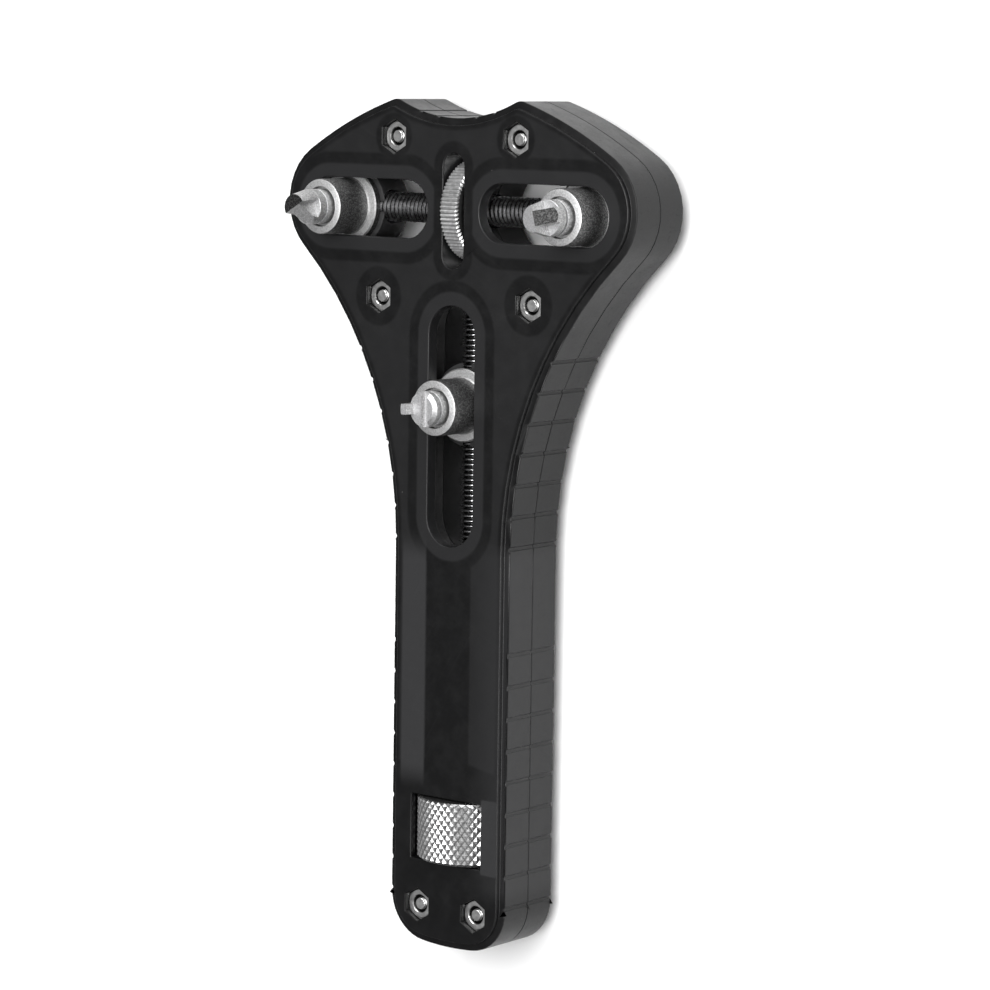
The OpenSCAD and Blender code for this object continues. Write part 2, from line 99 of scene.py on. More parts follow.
class Slot(Enum):
    """The record's material slot names; no piece here is given one."""

    SHELL = "shell_plastic"
    SHOE = "shoe_plastic"
    FASTENER = "screw_steel"
    BRIGHT = "bright_steel"
    PLATED = "plated_steel"
    BLACK = "black_steel"
    JAW = "jaw_steel"
    BIT = "bit_steel"


# ---------------------------------------------------------------- node wiring
@dataclass
class Wiring:
    """Adds and joins the nodes of one node tree.

    Args:
        tree: The node tree that is built up.
    """

    tree: bpy.types.NodeTree

    def add(self, kind: str, **settings: object) -> bpy.types.Node:
        """Adds a node and sets its properties.

        Args:
            kind: The node's type, without the ShaderNode prefix.
            settings: Properties to set on it.

        Returns:
            The new node.
        """
        node = self.tree.nodes.new("ShaderNode" + kind)
        for name, value in settings.items():
            setattr(node, name, value)
        return node

    def put(self, target: Socket, value: Socket | float | Sequence[float]) -> None:
        """Joins a socket to an input, or writes a constant on it."""
        if isinstance(value, bpy.types.NodeSocket):
            self.tree.links.new(value, target)
        else:
            target.default_value = value

    def math(self, operation: str, a: Socket | float, b: Socket | float = 0.0) -> Socket:
        """Adds a Math node.

        Args:
            operation: Its operation.
            a: First value.
            b: Second value.

        Returns:
            The result's socket.
        """
        node = self.add("Math", operation=operation)
        self.put(node.inputs[0], a)
        self.put(node.inputs[1], b)
        return node.outputs[0]

    def fold(self, operation: str, values: Sequence[Socket | float]) -> Socket:
        """Runs a two-sided operation through a list of values."""
        result = values[0]
        for value in values[1:]:
            result = self.math(operation, result, value)
        return result

    def length(self, dx: Socket, dy: Socket) -> Socket:
        """Length of a two-sided vector."""
        squares = self.math("MULTIPLY", dx, dx), self.math("MULTIPLY", dy, dy)
        return self.math("SQRT", self.math("ADD", *squares))

    def beyond(self, value: Socket, low: float, high: float) -> Socket:
        """How far a value lies outside a span, 0 within it."""
        inside = self.math("MINIMUM", self.math("MAXIMUM", value, low), high)
        return self.math("SUBTRACT", value, inside)

    def ramp(self, value: Socket, start: float, end: float, low: float = 0.0, high: float = 1.0) -> Socket:
        """Maps a value smoothly from one span to another.

        Args:
            value: The value to map.
            start: Where the smooth step starts.
            end: Where it ends.
            low: Result at the start.
            high: Result at the end.

        Returns:
            The mapped value's socket.
        """
        node = self.add("MapRange", interpolation_type="SMOOTHSTEP")
        self.put(node.inputs["Value"], value)
        falling = start > end
        node.inputs["From Min"].default_value = min(start, end)
        node.inputs["From Max"].default_value = max(start, end)
        node.inputs["To Min"].default_value = high if falling else low
        node.inputs["To Max"].default_value = low if falling else high
        return node.outputs["Result"]

    def band(self, value: Socket, low: float, high: float, soft: float) -> Socket:
        """A mask that is 1 between two values, with soft sides."""
        rising = self.ramp(value, low - soft, low + soft)
        return self.math("MULTIPLY", rising, self.ramp(value, high + soft, high - soft))

    def mix(self, factor: Socket | float, a: Socket | Colour, b: Socket | Colour) -> Socket:
        """Mixes two colours.

        Args:
            factor: 0 for the first colour, 1 for the second.
            a: First colour.
            b: Second colour.

        Returns:
            The mixed colour's socket.
        """
        node = self.add("Mix", data_type="RGBA")
        self.put(node.inputs[0], factor)
        for target, colour in ((node.inputs[6], a), (node.inputs[7], b)):
            self.put(target, colour if isinstance(colour, bpy.types.NodeSocket) else (*colour, 1.0))
        return node.outputs[2]

    def noise(self, vector: Socket, scale: float, detail: float = 3.0, roughness: float = 0.5) -> Socket:
        """A noise value at a position."""
        node = self.add("TexNoise")
        self.put(node.inputs["Vector"], vector)
        node.inputs["Scale"].default_value = scale
        node.inputs["Detail"].default_value = detail
        node.inputs["Roughness"].default_value = roughness
        return node.outputs["Fac"]

    def stretched(self, vector: Socket, scale: Point) -> Socket:
        """A position multiplied along each axis."""
        node = self.add("VectorMath", operation="MULTIPLY")
        self.put(node.inputs[0], vector)
        node.inputs[1].default_value = scale
        return node.outputs[0]

    def position(self) -> Socket:
        """The point on the piece, in millimetres."""
        return self.stretched(self.add("TexCoord").outputs["Object"], (1 / MM, 1 / MM, 1 / MM))

    def split(self, vector: Socket) -> list[Socket]:
        """The three components of a vector."""
        node = self.add("SeparateXYZ")
        self.put(node.inputs[0], vector)
        return list(node.outputs)

    def centred(self, position: Socket, centre: Point, axis: str) -> Socket:
        """Moves a centre to the origin and turns an axis to Z."""
        moved = self.add("VectorMath", operation="SUBTRACT")
        self.put(moved.inputs[0], position)
        moved.inputs[1].default_value = centre
        if axis == "Z":
            return moved.outputs[0]
        turned = self.add("VectorRotate", rotation_type="Y_AXIS" if axis == "X" else "X_AXIS")
        self.put(turned.inputs["Vector"], moved.outputs[0])
        turned.inputs["Angle"].default_value = math.pi / 2
        return turned.outputs[0]

    def bump(self, shader: bpy.types.Node, height: Socket, strength: float, distance_mm: float) -> None:
        """Feeds a height to a shader's normal."""
        node = self.add("Bump")
        node.inputs["Strength"].default_value = strength
        node.inputs["Distance"].default_value = distance_mm * MM
        self.put(node.inputs["Height"], height)
        self.put(shader.inputs["Normal"], node.outputs[0])


@dataclass
class EffectGroups:
    """Shader node groups that several finishes share, each built once."""

    made: dict[str, bpy.types.NodeTree] = field(default_factory=dict)

    def group(
        self, name: str, inputs: Sequence[str], outputs: Sequence[str], fill: Callable
    ) -> bpy.types.NodeTree:
        """Finds or builds a node group.

        Args:
            name: The group's name.
            inputs: Names of its value inputs, after the position.
            outputs: Names of its value outputs.
            fill: Function that takes the wiring and the input node and returns the output sockets in order.

        Returns:
            The group's node tree.
        """
        if name in self.made:
            return self.made[name]
        tree = bpy.data.node_groups.new(name, "ShaderNodeTree")
        tree.interface.new_socket("Position", in_out="INPUT", socket_type="NodeSocketVector")
        for each in inputs:
            tree.interface.new_socket(each, in_out="INPUT", socket_type="NodeSocketFloat")
        for each in outputs:
            tree.interface.new_socket(each, in_out="OUTPUT", socket_type="NodeSocketFloat")
        entry = tree.nodes.new("NodeGroupInput")
        leave = tree.nodes.new("NodeGroupOutput")
        wiring = Wiring(tree)
        for name_out, value in zip(outputs, fill(wiring, entry)):
            tree.links.new(value, leave.inputs[name_out])
        self.made[name] = tree
        return tree

    def place(
        self, wiring: Wiring, tree: bpy.types.NodeTree, position: Socket, **values: float
    ) -> bpy.types.Node:
        """Places a group in a material with that material's own values."""
        node = wiring.tree.nodes.new("ShaderNodeGroup")
        node.node_tree = tree
        wiring.tree.links.new(position, node.inputs["Position"])
        for name, value in values.items():
            node.inputs[name.replace("_", " ").capitalize()].default_value = value
        return node

    def grain(self) -> bpy.types.NodeTree:
        """Fine surface grain: a soft mottle with a finer one on it."""

        def fill(w: Wiring, entry: bpy.types.Node) -> list[Socket]:
            """Wires the mottle and the fine grain."""
            node = w.add("VectorMath", operation="SCALE")
            w.put(node.inputs[0], entry.outputs["Position"])
            w.put(node.inputs["Scale"], entry.outputs["Cells per mm"])
            coarse = w.noise(node.outputs[0], 0.35, 4.0)
            fine = w.noise(node.outputs[0], 2.2, 2.0, 0.6)
            both = w.math("ADD", w.math("MULTIPLY", coarse, 0.55), w.math("MULTIPLY", fine, 0.45))
            return [both, coarse]

        return self.group("surface_grain", ["Cells per mm"], ["Grain", "Mottle"], fill)

    def scratches(self) -> bpy.types.NodeTree:
        """Hairline handling scratches in two directions."""

        def fill(w: Wiring, entry: bpy.types.Node) -> list[Socket]:
            """Wires two stretched noises cut to thin lines."""
            lines = []
            for turn, shift in ((0.5, 3.0), (2.1, 11.0)):
                turned = w.add("VectorRotate", rotation_type="Z_AXIS")
                w.put(turned.inputs["Vector"], entry.outputs["Position"])
                turned.inputs["Angle"].default_value = turn
                long = w.stretched(turned.outputs[0], (0.06, 2.4, 0.5))
                moved = w.add("VectorMath", operation="ADD")
                w.put(moved.inputs[0], long)
                moved.inputs[1].default_value = (shift, shift, 0.0)
                lines.append(w.ramp(w.noise(moved.outputs[0], 1.0, 2.0), 0.66, 0.72))
            both = w.math("MAXIMUM", *lines)
            return [w.math("MULTIPLY", both, entry.outputs["Amount"])]

        return self.group("handling_scratches", ["Amount"], ["Mask"], fill)

    def dust(self) -> bpy.types.NodeTree:
        """Sparse pale dust specks."""

        def fill(w: Wiring, entry: bpy.types.Node) -> list[Socket]:
            """Wires specks at the centres of a few cells."""
            cells = w.add("TexVoronoi")
            w.put(cells.inputs["Vector"], entry.outputs["Position"])
            cells.inputs["Scale"].default_value = 0.42
            keep = w.add("SeparateColor")
            w.put(keep.inputs[0], cells.outputs["Color"])
            chosen = w.ramp(keep.outputs[0], 0.86, 0.9)
            size = w.math("MULTIPLY", keep.outputs[1], 0.05)
            near = w.math("SUBTRACT", size, cells.outputs["Distance"])
            speck = w.ramp(near, 0.0, 0.015)
            return [w.math("MULTIPLY", w.math("MULTIPLY", speck, chosen), entry.outputs["Amount"])]

        return self.group("dust_specks", ["Amount"], ["Mask"], fill)

    def turning(self) -> bpy.types.NodeTree:
        """Rings left by a lathe tool about the Z axis of the position that is given."""

        def fill(w: Wiring, entry: bpy.types.Node) -> list[Socket]:
            """Wires fine rings whose depth wanders a little."""
            x, y, z = w.split(entry.outputs["Position"])
            radius = w.length(x, y)
            line = w.add("CombineXYZ")
            w.put(line.inputs[0], w.math("ADD", radius, z))
            rings = w.noise(line.outputs[0], 7.0, 2.0, 0.7)
            return [w.math("MULTIPLY", rings, entry.outputs["Depth"]), radius]

        return self.group("turning_rings", ["Depth"], ["Height", "Radius"], fill)


@dataclass(frozen=True)
class RibShadow:
    """Where the inner walls and ribs darken the smoked plastic of the shells."""

    soft: float = 0.35
    channel_r: float = 8.35
    rib_t: float = 2.2
    wall_t: float = 2.2
    upper_x: Span = (12.0, 31.5)
    lower_y: Span = (2.3, 37.4)
    wheel_y: Span = (UPPER_Y - 8.45, UPPER_Y + 8.45)
    wheel_r: float = 2.6
    bosses: tuple[Point, ...] = ((18.58, 44.0, 5.75), (15.04, 74.85, 4.5), (7.09, -74.5, 4.5))
    spine_half: float = 5.5
    spine_y: Span = (-51.0, -6.0)
    strip_x: Span = (-11.6, -5.7)
    strip_y: Span = (-49.0, -4.0)
    panel_x: Span = (4.0, 13.5)
    panel_y: Span = (-70.0, -3.0)
    panel_light: float = 0.45
    beside_x: Span = (8.9, 12.6)
    beside_y: Span = (-66.0, -51.5)
    beside_light: float = 1.1
    flare_c: tuple[float, float] = (90.99, -3.5)
    flare_r: float = 76.64
    head_c: tuple[float, float] = (31.05, 61.8)
    head_r: float = 12.0
    head_low: tuple[float, float] = (0.676, -0.737)
    head_high: tuple[float, float] = (0.538, 0.843)
    shoulder_c: tuple[float, float] = (-10.89, -3.96)
    shoulder_r: float = 90.0
    notch_y: float = 111.73
    notch_r: float = 33.13
    handle_end: float = -82.0
    far: float = 100.0

    def fill(self, w: Wiring, entry: bpy.types.Node) -> list[Socket]:
        """Wires the pattern.

        Args:
            w: Wiring of the group.
            entry: The group's input node.

        Returns:
            Sockets of the rib mask, the hollow pockets and the lit strip.
        """
        x, y, _ = w.split(entry.outputs["Position"])
        u = w.math("ABSOLUTE", x)
        soft, r = self.soft, self.channel_r
        upper = w.length(w.beyond(u, *self.upper_x), w.math("SUBTRACT", y, UPPER_Y))
        lower = w.length(x, w.beyond(y, *self.lower_y))
        wheel = w.length(x, w.beyond(y, *self.wheel_y))
        around = ((upper, r), (lower, r), (wheel, self.wheel_r))
        ribs = [w.band(away, inner, inner + self.rib_t, soft) for away, inner in around]
        for boss_x, boss_y, boss_r in self.bosses:
            boss = w.length(w.math("SUBTRACT", u, boss_x), w.math("SUBTRACT", y, boss_y))
            ribs.append(w.ramp(boss, boss_r + soft, boss_r - soft))
        middle = w.ramp(u, self.spine_half + soft, self.spine_half - soft)
        spine = w.math("MULTIPLY", middle, w.band(y, *self.spine_y, soft))
        wall = w.ramp(self.to_outline(w, u, y), self.wall_t + 0.5, self.wall_t - 0.3)
        rib = w.math("MINIMUM", w.fold("MAXIMUM", [*ribs, spine, wall]), 1.0)
        along = w.band(y, *self.strip_y, 3.0)
        strip = w.math("MULTIPLY", w.band(x, *self.strip_x, soft), along)
        panel = w.math("MULTIPLY", w.ramp(x, *self.panel_x), w.band(y, *self.panel_y, 2.0))
        beside = w.math("MULTIPLY", w.band(x, *self.beside_x, soft), w.band(y, *self.beside_y, soft))
        lit = w.math(
            "ADD", w.math("MULTIPLY", panel, self.panel_light), w.math("MULTIPLY", beside, self.beside_light))
        channel = w.ramp(w.math("MINIMUM", upper, lower), r + soft, r - soft)
        return [rib, channel, w.math("ADD", strip, lit)]

    def to_outline(self, w: Wiring, u: Socket, y: Socket) -> Socket:
        """Distance inward from the body's outline, on its right half."""
        fx = w.math("SUBTRACT", u, self.flare_c[0])
        fy = w.math("SUBTRACT", w.math("MAXIMUM", y, self.flare_c[1]), self.flare_c[1])
        flare = w.math("SUBTRACT", w.length(fx, fy), self.flare_r)
        hx = w.math("SUBTRACT", u, self.head_c[0])
        hy = w.math("SUBTRACT", y, self.head_c[1])
        low, high = self.head_low, self.head_high
        over = w.math("SUBTRACT", w.math("MULTIPLY", hy, low[0]), w.math("MULTIPLY", hx, low[1]))
        under = w.math("SUBTRACT", w.math("MULTIPLY", hx, high[1]), w.math("MULTIPLY", hy, high[0]))
        sector = w.math("MULTIPLY", w.math("GREATER_THAN", over, 0.0), w.math("GREATER_THAN", under, 0.0))
        away = w.math("MULTIPLY", w.math("SUBTRACT", 1.0, sector), self.far)
        corner = w.math("ADD", w.math("SUBTRACT", self.head_r, w.length(hx, hy)), away)
        sx = w.math("SUBTRACT", u, self.shoulder_c[0])
        sy = w.math("SUBTRACT", y, self.shoulder_c[1])
        shoulder = w.math("SUBTRACT", self.shoulder_r, w.length(sx, sy))
        below = w.math("MULTIPLY", w.math("LESS_THAN", y, self.head_c[1]), self.far)
        notch = w.math("SUBTRACT", w.length(u, w.math("SUBTRACT", y, self.notch_y)), self.notch_r)
        end = w.math("SUBTRACT", y, self.handle_end)
        return w.fold("MINIMUM", [flare, corner, w.math("ADD", shoulder, below), notch, end])


# ---------------------------------------------------------------- finishes
@dataclass(frozen=True)
class Finish:
    """A procedural material. Each kind of finish wires its own surface.

    Args:
        name: The material's name.
    """

    name: str

    def surface(self, w: Wiring, shader: bpy.types.Node, at: Socket, effects: EffectGroups) -> None:
        """Wires the finish.

        Args:
            w: Wiring of the material.
            shader: Its surface shader.
            at: The position in millimetres.
            effects: The shared effects.
        """
        raise NotImplementedError

    def build(self, effects: EffectGroups) -> bpy.types.Material:
        """Makes the material.

        Args:
            effects: The shared effects.

        Returns:
            The material.
        """
        material = bpy.data.materials.new(self.name)
        material.use_nodes = True
        material.node_tree.nodes.clear()
        w = Wiring(material.node_tree)
        out = w.add("OutputMaterial")
        shader = w.add("BsdfPrincipled")
        w.put(out.inputs["Surface"], shader.outputs[0])
        self.surface(w, shader, w.position(), effects)
        return material


@dataclass(frozen=True)
class SmokedPlastic(Finish):
    """Smoked, slightly see-through black plastic with the ribs showing faintly inside."""

    hollow: Colour = (0.009, 0.009, 0.0094)
    channel: Colour = (0.013, 0.013, 0.0136)
    rib: Colour = (0.0025, 0.0025, 0.0027)
    lit: Colour = (0.025, 0.025, 0.026)
    haze: Colour = (0.012, 0.012, 0.0125)
    speck: Colour = (0.35, 0.35, 0.34)
    rough: Span = (0.36, 0.46)

    def surface(self, w: Wiring, shader: bpy.types.Node, at: Socket, effects: EffectGroups) -> None:
        """Wires the ribs' shadows, a haze, dust, scratches and a fine grain."""
        ribs = effects.group("rib_shadow", [], ["Rib", "Channel", "Lit"], RibShadow().fill)
        shadow = effects.place(w, ribs, at)
        grain = effects.place(w, effects.grain(), at, cells_per_mm=1.0)
        marks = effects.place(w, effects.scratches(), at, amount=0.6)
        specks = effects.place(w, effects.dust(), at, amount=0.8)
        tone = w.mix(shadow.outputs["Channel"], self.hollow, self.channel)
        tone = w.mix(shadow.outputs["Rib"], tone, self.rib)
        tone = w.mix(shadow.outputs["Lit"], tone, self.lit)
        tone = w.mix(w.ramp(grain.outputs["Mottle"], 0.35, 0.75, 0.0, 0.2), tone, self.haze)
        w.put(shader.inputs["Base Color"], w.mix(specks.outputs[0], tone, self.speck))
        rough = w.ramp(grain.outputs["Grain"], *GRAIN_SPAN, *self.rough)
        w.put(shader.inputs["Roughness"], w.math("ADD", rough, w.math("MULTIPLY", marks.outputs[0], 0.12)))
        shader.inputs["IOR"].default_value = 1.47
        shader.inputs["Specular IOR Level"].default_value = 0.36
        w.bump(shader, grain.outputs["Grain"], 0.12, 0.05)


@dataclass(frozen=True)
class Nylon(Finish):
    """Matte black nylon."""

    dark: Colour = (0.008, 0.008, 0.008)
    light: Colour = (0.022, 0.022, 0.023)

    def surface(self, w: Wiring, shader: bpy.types.Node, at: Socket, effects: EffectGroups) -> None:
        """Wires a mottle and a moulded grain."""
        grain = effects.place(w, effects.grain(), at, cells_per_mm=3.0)
        w.put(shader.inputs["Base Color"], w.mix(grain.outputs["Mottle"], self.dark, self.light))
        w.put(shader.inputs["Roughness"], w.ramp(grain.outputs["Grain"], *GRAIN_SPAN, 0.45, 0.6))
        w.bump(shader, grain.outputs["Grain"], 0.3, 0.05)


@dataclass(frozen=True)
class Rubber(Finish):
    """Black nitrile rubber."""

    dark: Colour = (0.006, 0.006, 0.006)
    light: Colour = (0.02, 0.02, 0.02)

    def surface(self, w: Wiring, shader: bpy.types.Node, at: Socket, effects: EffectGroups) -> None:
        """Wires a dull grain."""
        grain = effects.place(w, effects.grain(), at, cells_per_mm=5.0)
        w.put(shader.inputs["Base Color"], w.mix(grain.outputs["Grain"], self.dark, self.light))
        w.put(shader.inputs["Roughness"], w.ramp(grain.outputs["Mottle"], *GRAIN_SPAN, 0.6, 0.75))


@dataclass(frozen=True)
class TurnedMetal(Finish):
    """A turned metal whose low places carry painted shade.

    Args:
        tones: Its darker and lighter tone.
        rough: Least and greatest roughness.
        centre: A point on the turning axis.
        axis: The turning axis.
        depth: Radii where the painted shade of the low places is full and where it ends, equal for none.
        recess_shade: Colour of the painted shade in the low places and in the ring round each bore.
        rings: How strongly the turning rings show.
        shaded_bores: Places of screws round which a ring over the countersink and the screw's end is painted
            dark as shade.
    """

    tones: tuple[Colour, Colour]
    rough: Span
    centre: Point = (0.0, 0.0, 0.0)
    axis: str = "Z"
    depth: Span = (0.0, 0.0)
    recess_shade: Colour = (0.03, 0.03, 0.03)
    rings: float = 0.12
    shaded_bores: Sequence[Span] = ()
    scratch: Colour = (0.9, 0.9, 0.9)
    bore_shade_ring: Span = (1.22, 1.8)

    def surface(self, w: Wiring, shader: bpy.types.Node, at: Socket, effects: EffectGroups) -> None:
        """Wires the tone, its scratches, painted shade in the low places and round the bores, and the rings
        of the lathe.
        """
        grain = effects.place(w, effects.grain(), at, cells_per_mm=4.0)
        marks = effects.place(w, effects.scratches(), at, amount=0.7)
        turned = effects.place(w, effects.turning(), w.centred(at, self.centre, self.axis), depth=1.0)
        tone = w.mix(w.ramp(grain.outputs["Mottle"], *GRAIN_SPAN), *self.tones)
        tone = w.mix(w.math("MULTIPLY", marks.outputs[0], 0.35), tone, self.scratch)
        inner, outer = self.depth
        # Painted shade: thread roots and rib and knurl valleys are darkened by their radius, leaving the
        # crests bright.
        if inner != outer:
            tone = w.mix(w.ramp(turned.outputs["Radius"], outer, inner), tone, self.recess_shade)
        # Painted shade: a dark ring over the nut's countersink and the screw's end at each screw site.
        if self.shaded_bores:
            x, y, _ = w.split(at)
            away = [w.length(w.math("SUBTRACT", x, px), w.math("SUBTRACT", y, py)) for px, py in self.shaded_bores]
            tone = w.mix(w.band(w.fold("MINIMUM", away), *self.bore_shade_ring, 0.1), tone, self.recess_shade)
        w.put(shader.inputs["Base Color"], tone)
        w.put(shader.inputs["Roughness"], w.ramp(grain.outputs["Grain"], *GRAIN_SPAN, *self.rough))
        shader.inputs["Metallic"].default_value = 1.0
        rings = w.math("MULTIPLY", turned.outputs["Height"], self.rings)
        w.bump(shader, w.math("ADD", rings, w.math("MULTIPLY", grain.outputs["Grain"], 0.3)), 0.15, 0.015)


@dataclass(frozen=True)
class BlastedMetal(Finish):
    """A metal with ground end faces and grit-blasted sides.

    Args:
        end: Tone of faces that look along Z.
        side: Darker and lighter tone of the sides.
        pit: Depth of the blasted pits, in millimetres.
        dark_faces: Least and greatest slope towards Z, and least height, of faces that are made dark and
            speckled.
    """

    end: Colour
    side: tuple[Colour, Colour]
    pit: float
    dark_faces: tuple[float, float, float] | None = None
    scratch: Colour = (0.4, 0.4, 0.42)
    dark_face_tones: tuple[Colour, Colour] = ((0.025, 0.025, 0.025), (0.13, 0.13, 0.13))

    def surface(self, w: Wiring, shader: bpy.types.Node, at: Socket, effects: EffectGroups) -> None:
        """Wires ground faces where the surface looks along Z, and blasted ones elsewhere."""
        slope = w.split(w.add("NewGeometry").outputs["Normal"])[2]
        flat = w.ramp(w.math("ABSOLUTE", slope), 0.55, 0.9)
        placed = effects.place(w, effects.grain(), at, cells_per_mm=9.0)
        marks = effects.place(w, effects.scratches(), at, amount=0.8)
        grain = placed.outputs["Grain"]
        rough_side = w.mix(w.ramp(grain, 0.42, 0.66), *self.side)
        speckled = w.mix(w.ramp(grain, 0.4, 0.6), tuple(c * 0.72 for c in self.end), self.end)
        ground = w.mix(w.math("MULTIPLY", marks.outputs[0], 0.4), speckled, self.scratch)
        tone = w.mix(flat, rough_side, ground)
        # Faces that slope towards Z within a span, above a height, are made dark and speckled.
        if self.dark_faces:
            least, greatest, height = self.dark_faces
            high = w.math("GREATER_THAN", w.split(at)[2], height)
            dark = w.math("MULTIPLY", high, w.band(slope, least, greatest, 0.03))
            tone = w.mix(dark, tone, w.mix(w.ramp(grain, 0.42, 0.62), *self.dark_face_tones))
        w.put(shader.inputs["Base Color"], tone)
        w.put(shader.inputs["Roughness"], w.math("SUBTRACT", 0.55, w.math("MULTIPLY", flat, 0.05)))
        shader.inputs["Metallic"].default_value = 1.0
        pits = w.math("SUBTRACT", 1.0, w.math("MULTIPLY", flat, 0.7))
        w.bump(shader, w.math("MULTIPLY", grain, pits), 0.5, self.pit)


GROUND = (0.85, 0.85, 0.86)
BLASTED = ((0.3, 0.3, 0.3), (0.6, 0.6, 0.6))
FINISHES: dict[str, Finish] = {
    "shell": SmokedPlastic("smoked_plastic"),
    "shoe": Nylon("black_nylon"),
    "ring": Rubber("ring_rubber"),
    "nickel": TurnedMetal(
        "nickel_plate", ((0.78, 0.78, 0.77), (0.95, 0.95, 0.94)), (0.28, 0.38), rings=0.0, shaded_bores=SCREW_SITES),
    "wheel": TurnedMetal(
        "wheel_steel", ((0.72, 0.72, 0.72), (0.93, 0.93, 0.93)), (0.34, 0.46),
        (0.0, UPPER_Y, MID_Z), "X", (9.3, 9.6), (0.25, 0.25, 0.25)),
    "knob": TurnedMetal(
        "knob_steel", ((0.74, 0.74, 0.74), (0.95, 0.95, 0.95)), (0.3, 0.42),
        (0.0, -58.9, MID_Z), "Y", (10.3, 10.55), (0.22, 0.22, 0.22)),
    "lead": TurnedMetal(
        "plated_thread", ((0.4, 0.4, 0.41), (0.68, 0.68, 0.69)), (0.2, 0.34),
        (0.0, 0.0, MID_Z), "Y", (2.4, 2.8), (0.05, 0.05, 0.05)),
    "black": TurnedMetal(
        "black_oxide", ((0.55, 0.55, 0.56), (0.8, 0.8, 0.81)), (0.24, 0.34),
        (0.0, UPPER_Y, MID_Z), "X", (2.4, 2.6), (0.02, 0.02, 0.02)),
    "post": BlastedMetal("post_steel", (0.85, 0.85, 0.85), ((0.07, 0.07, 0.07), (0.3, 0.3, 0.3)), 0.03),
    "left_bit": BlastedMetal("left_bit_steel", GROUND, BLASTED, 0.02, (0.95, 1.1, 30.9)),
    "right_bit": BlastedMetal("right_bit_steel", (0.7, 0.7, 0.71), BLASTED, 0.02, (0.66, 0.84, 27.5)),
    "lower_bit": BlastedMetal("lower_bit_steel", GROUND, BLASTED, 0.02),
}


@dataclass
class Finishes:
    """The object's finishes, each built when it is first asked for."""

    effects: EffectGroups = field(default_factory=EffectGroups)
    made: dict[str, bpy.types.Material] = field(default_factory=dict)

    def get(self, name: str) -> bpy.types.Material:
        """The material of that finish."""
        if name not in self.made:
            self.made[name] = FINISHES[name].build(self.effects)
        return self.made[name]


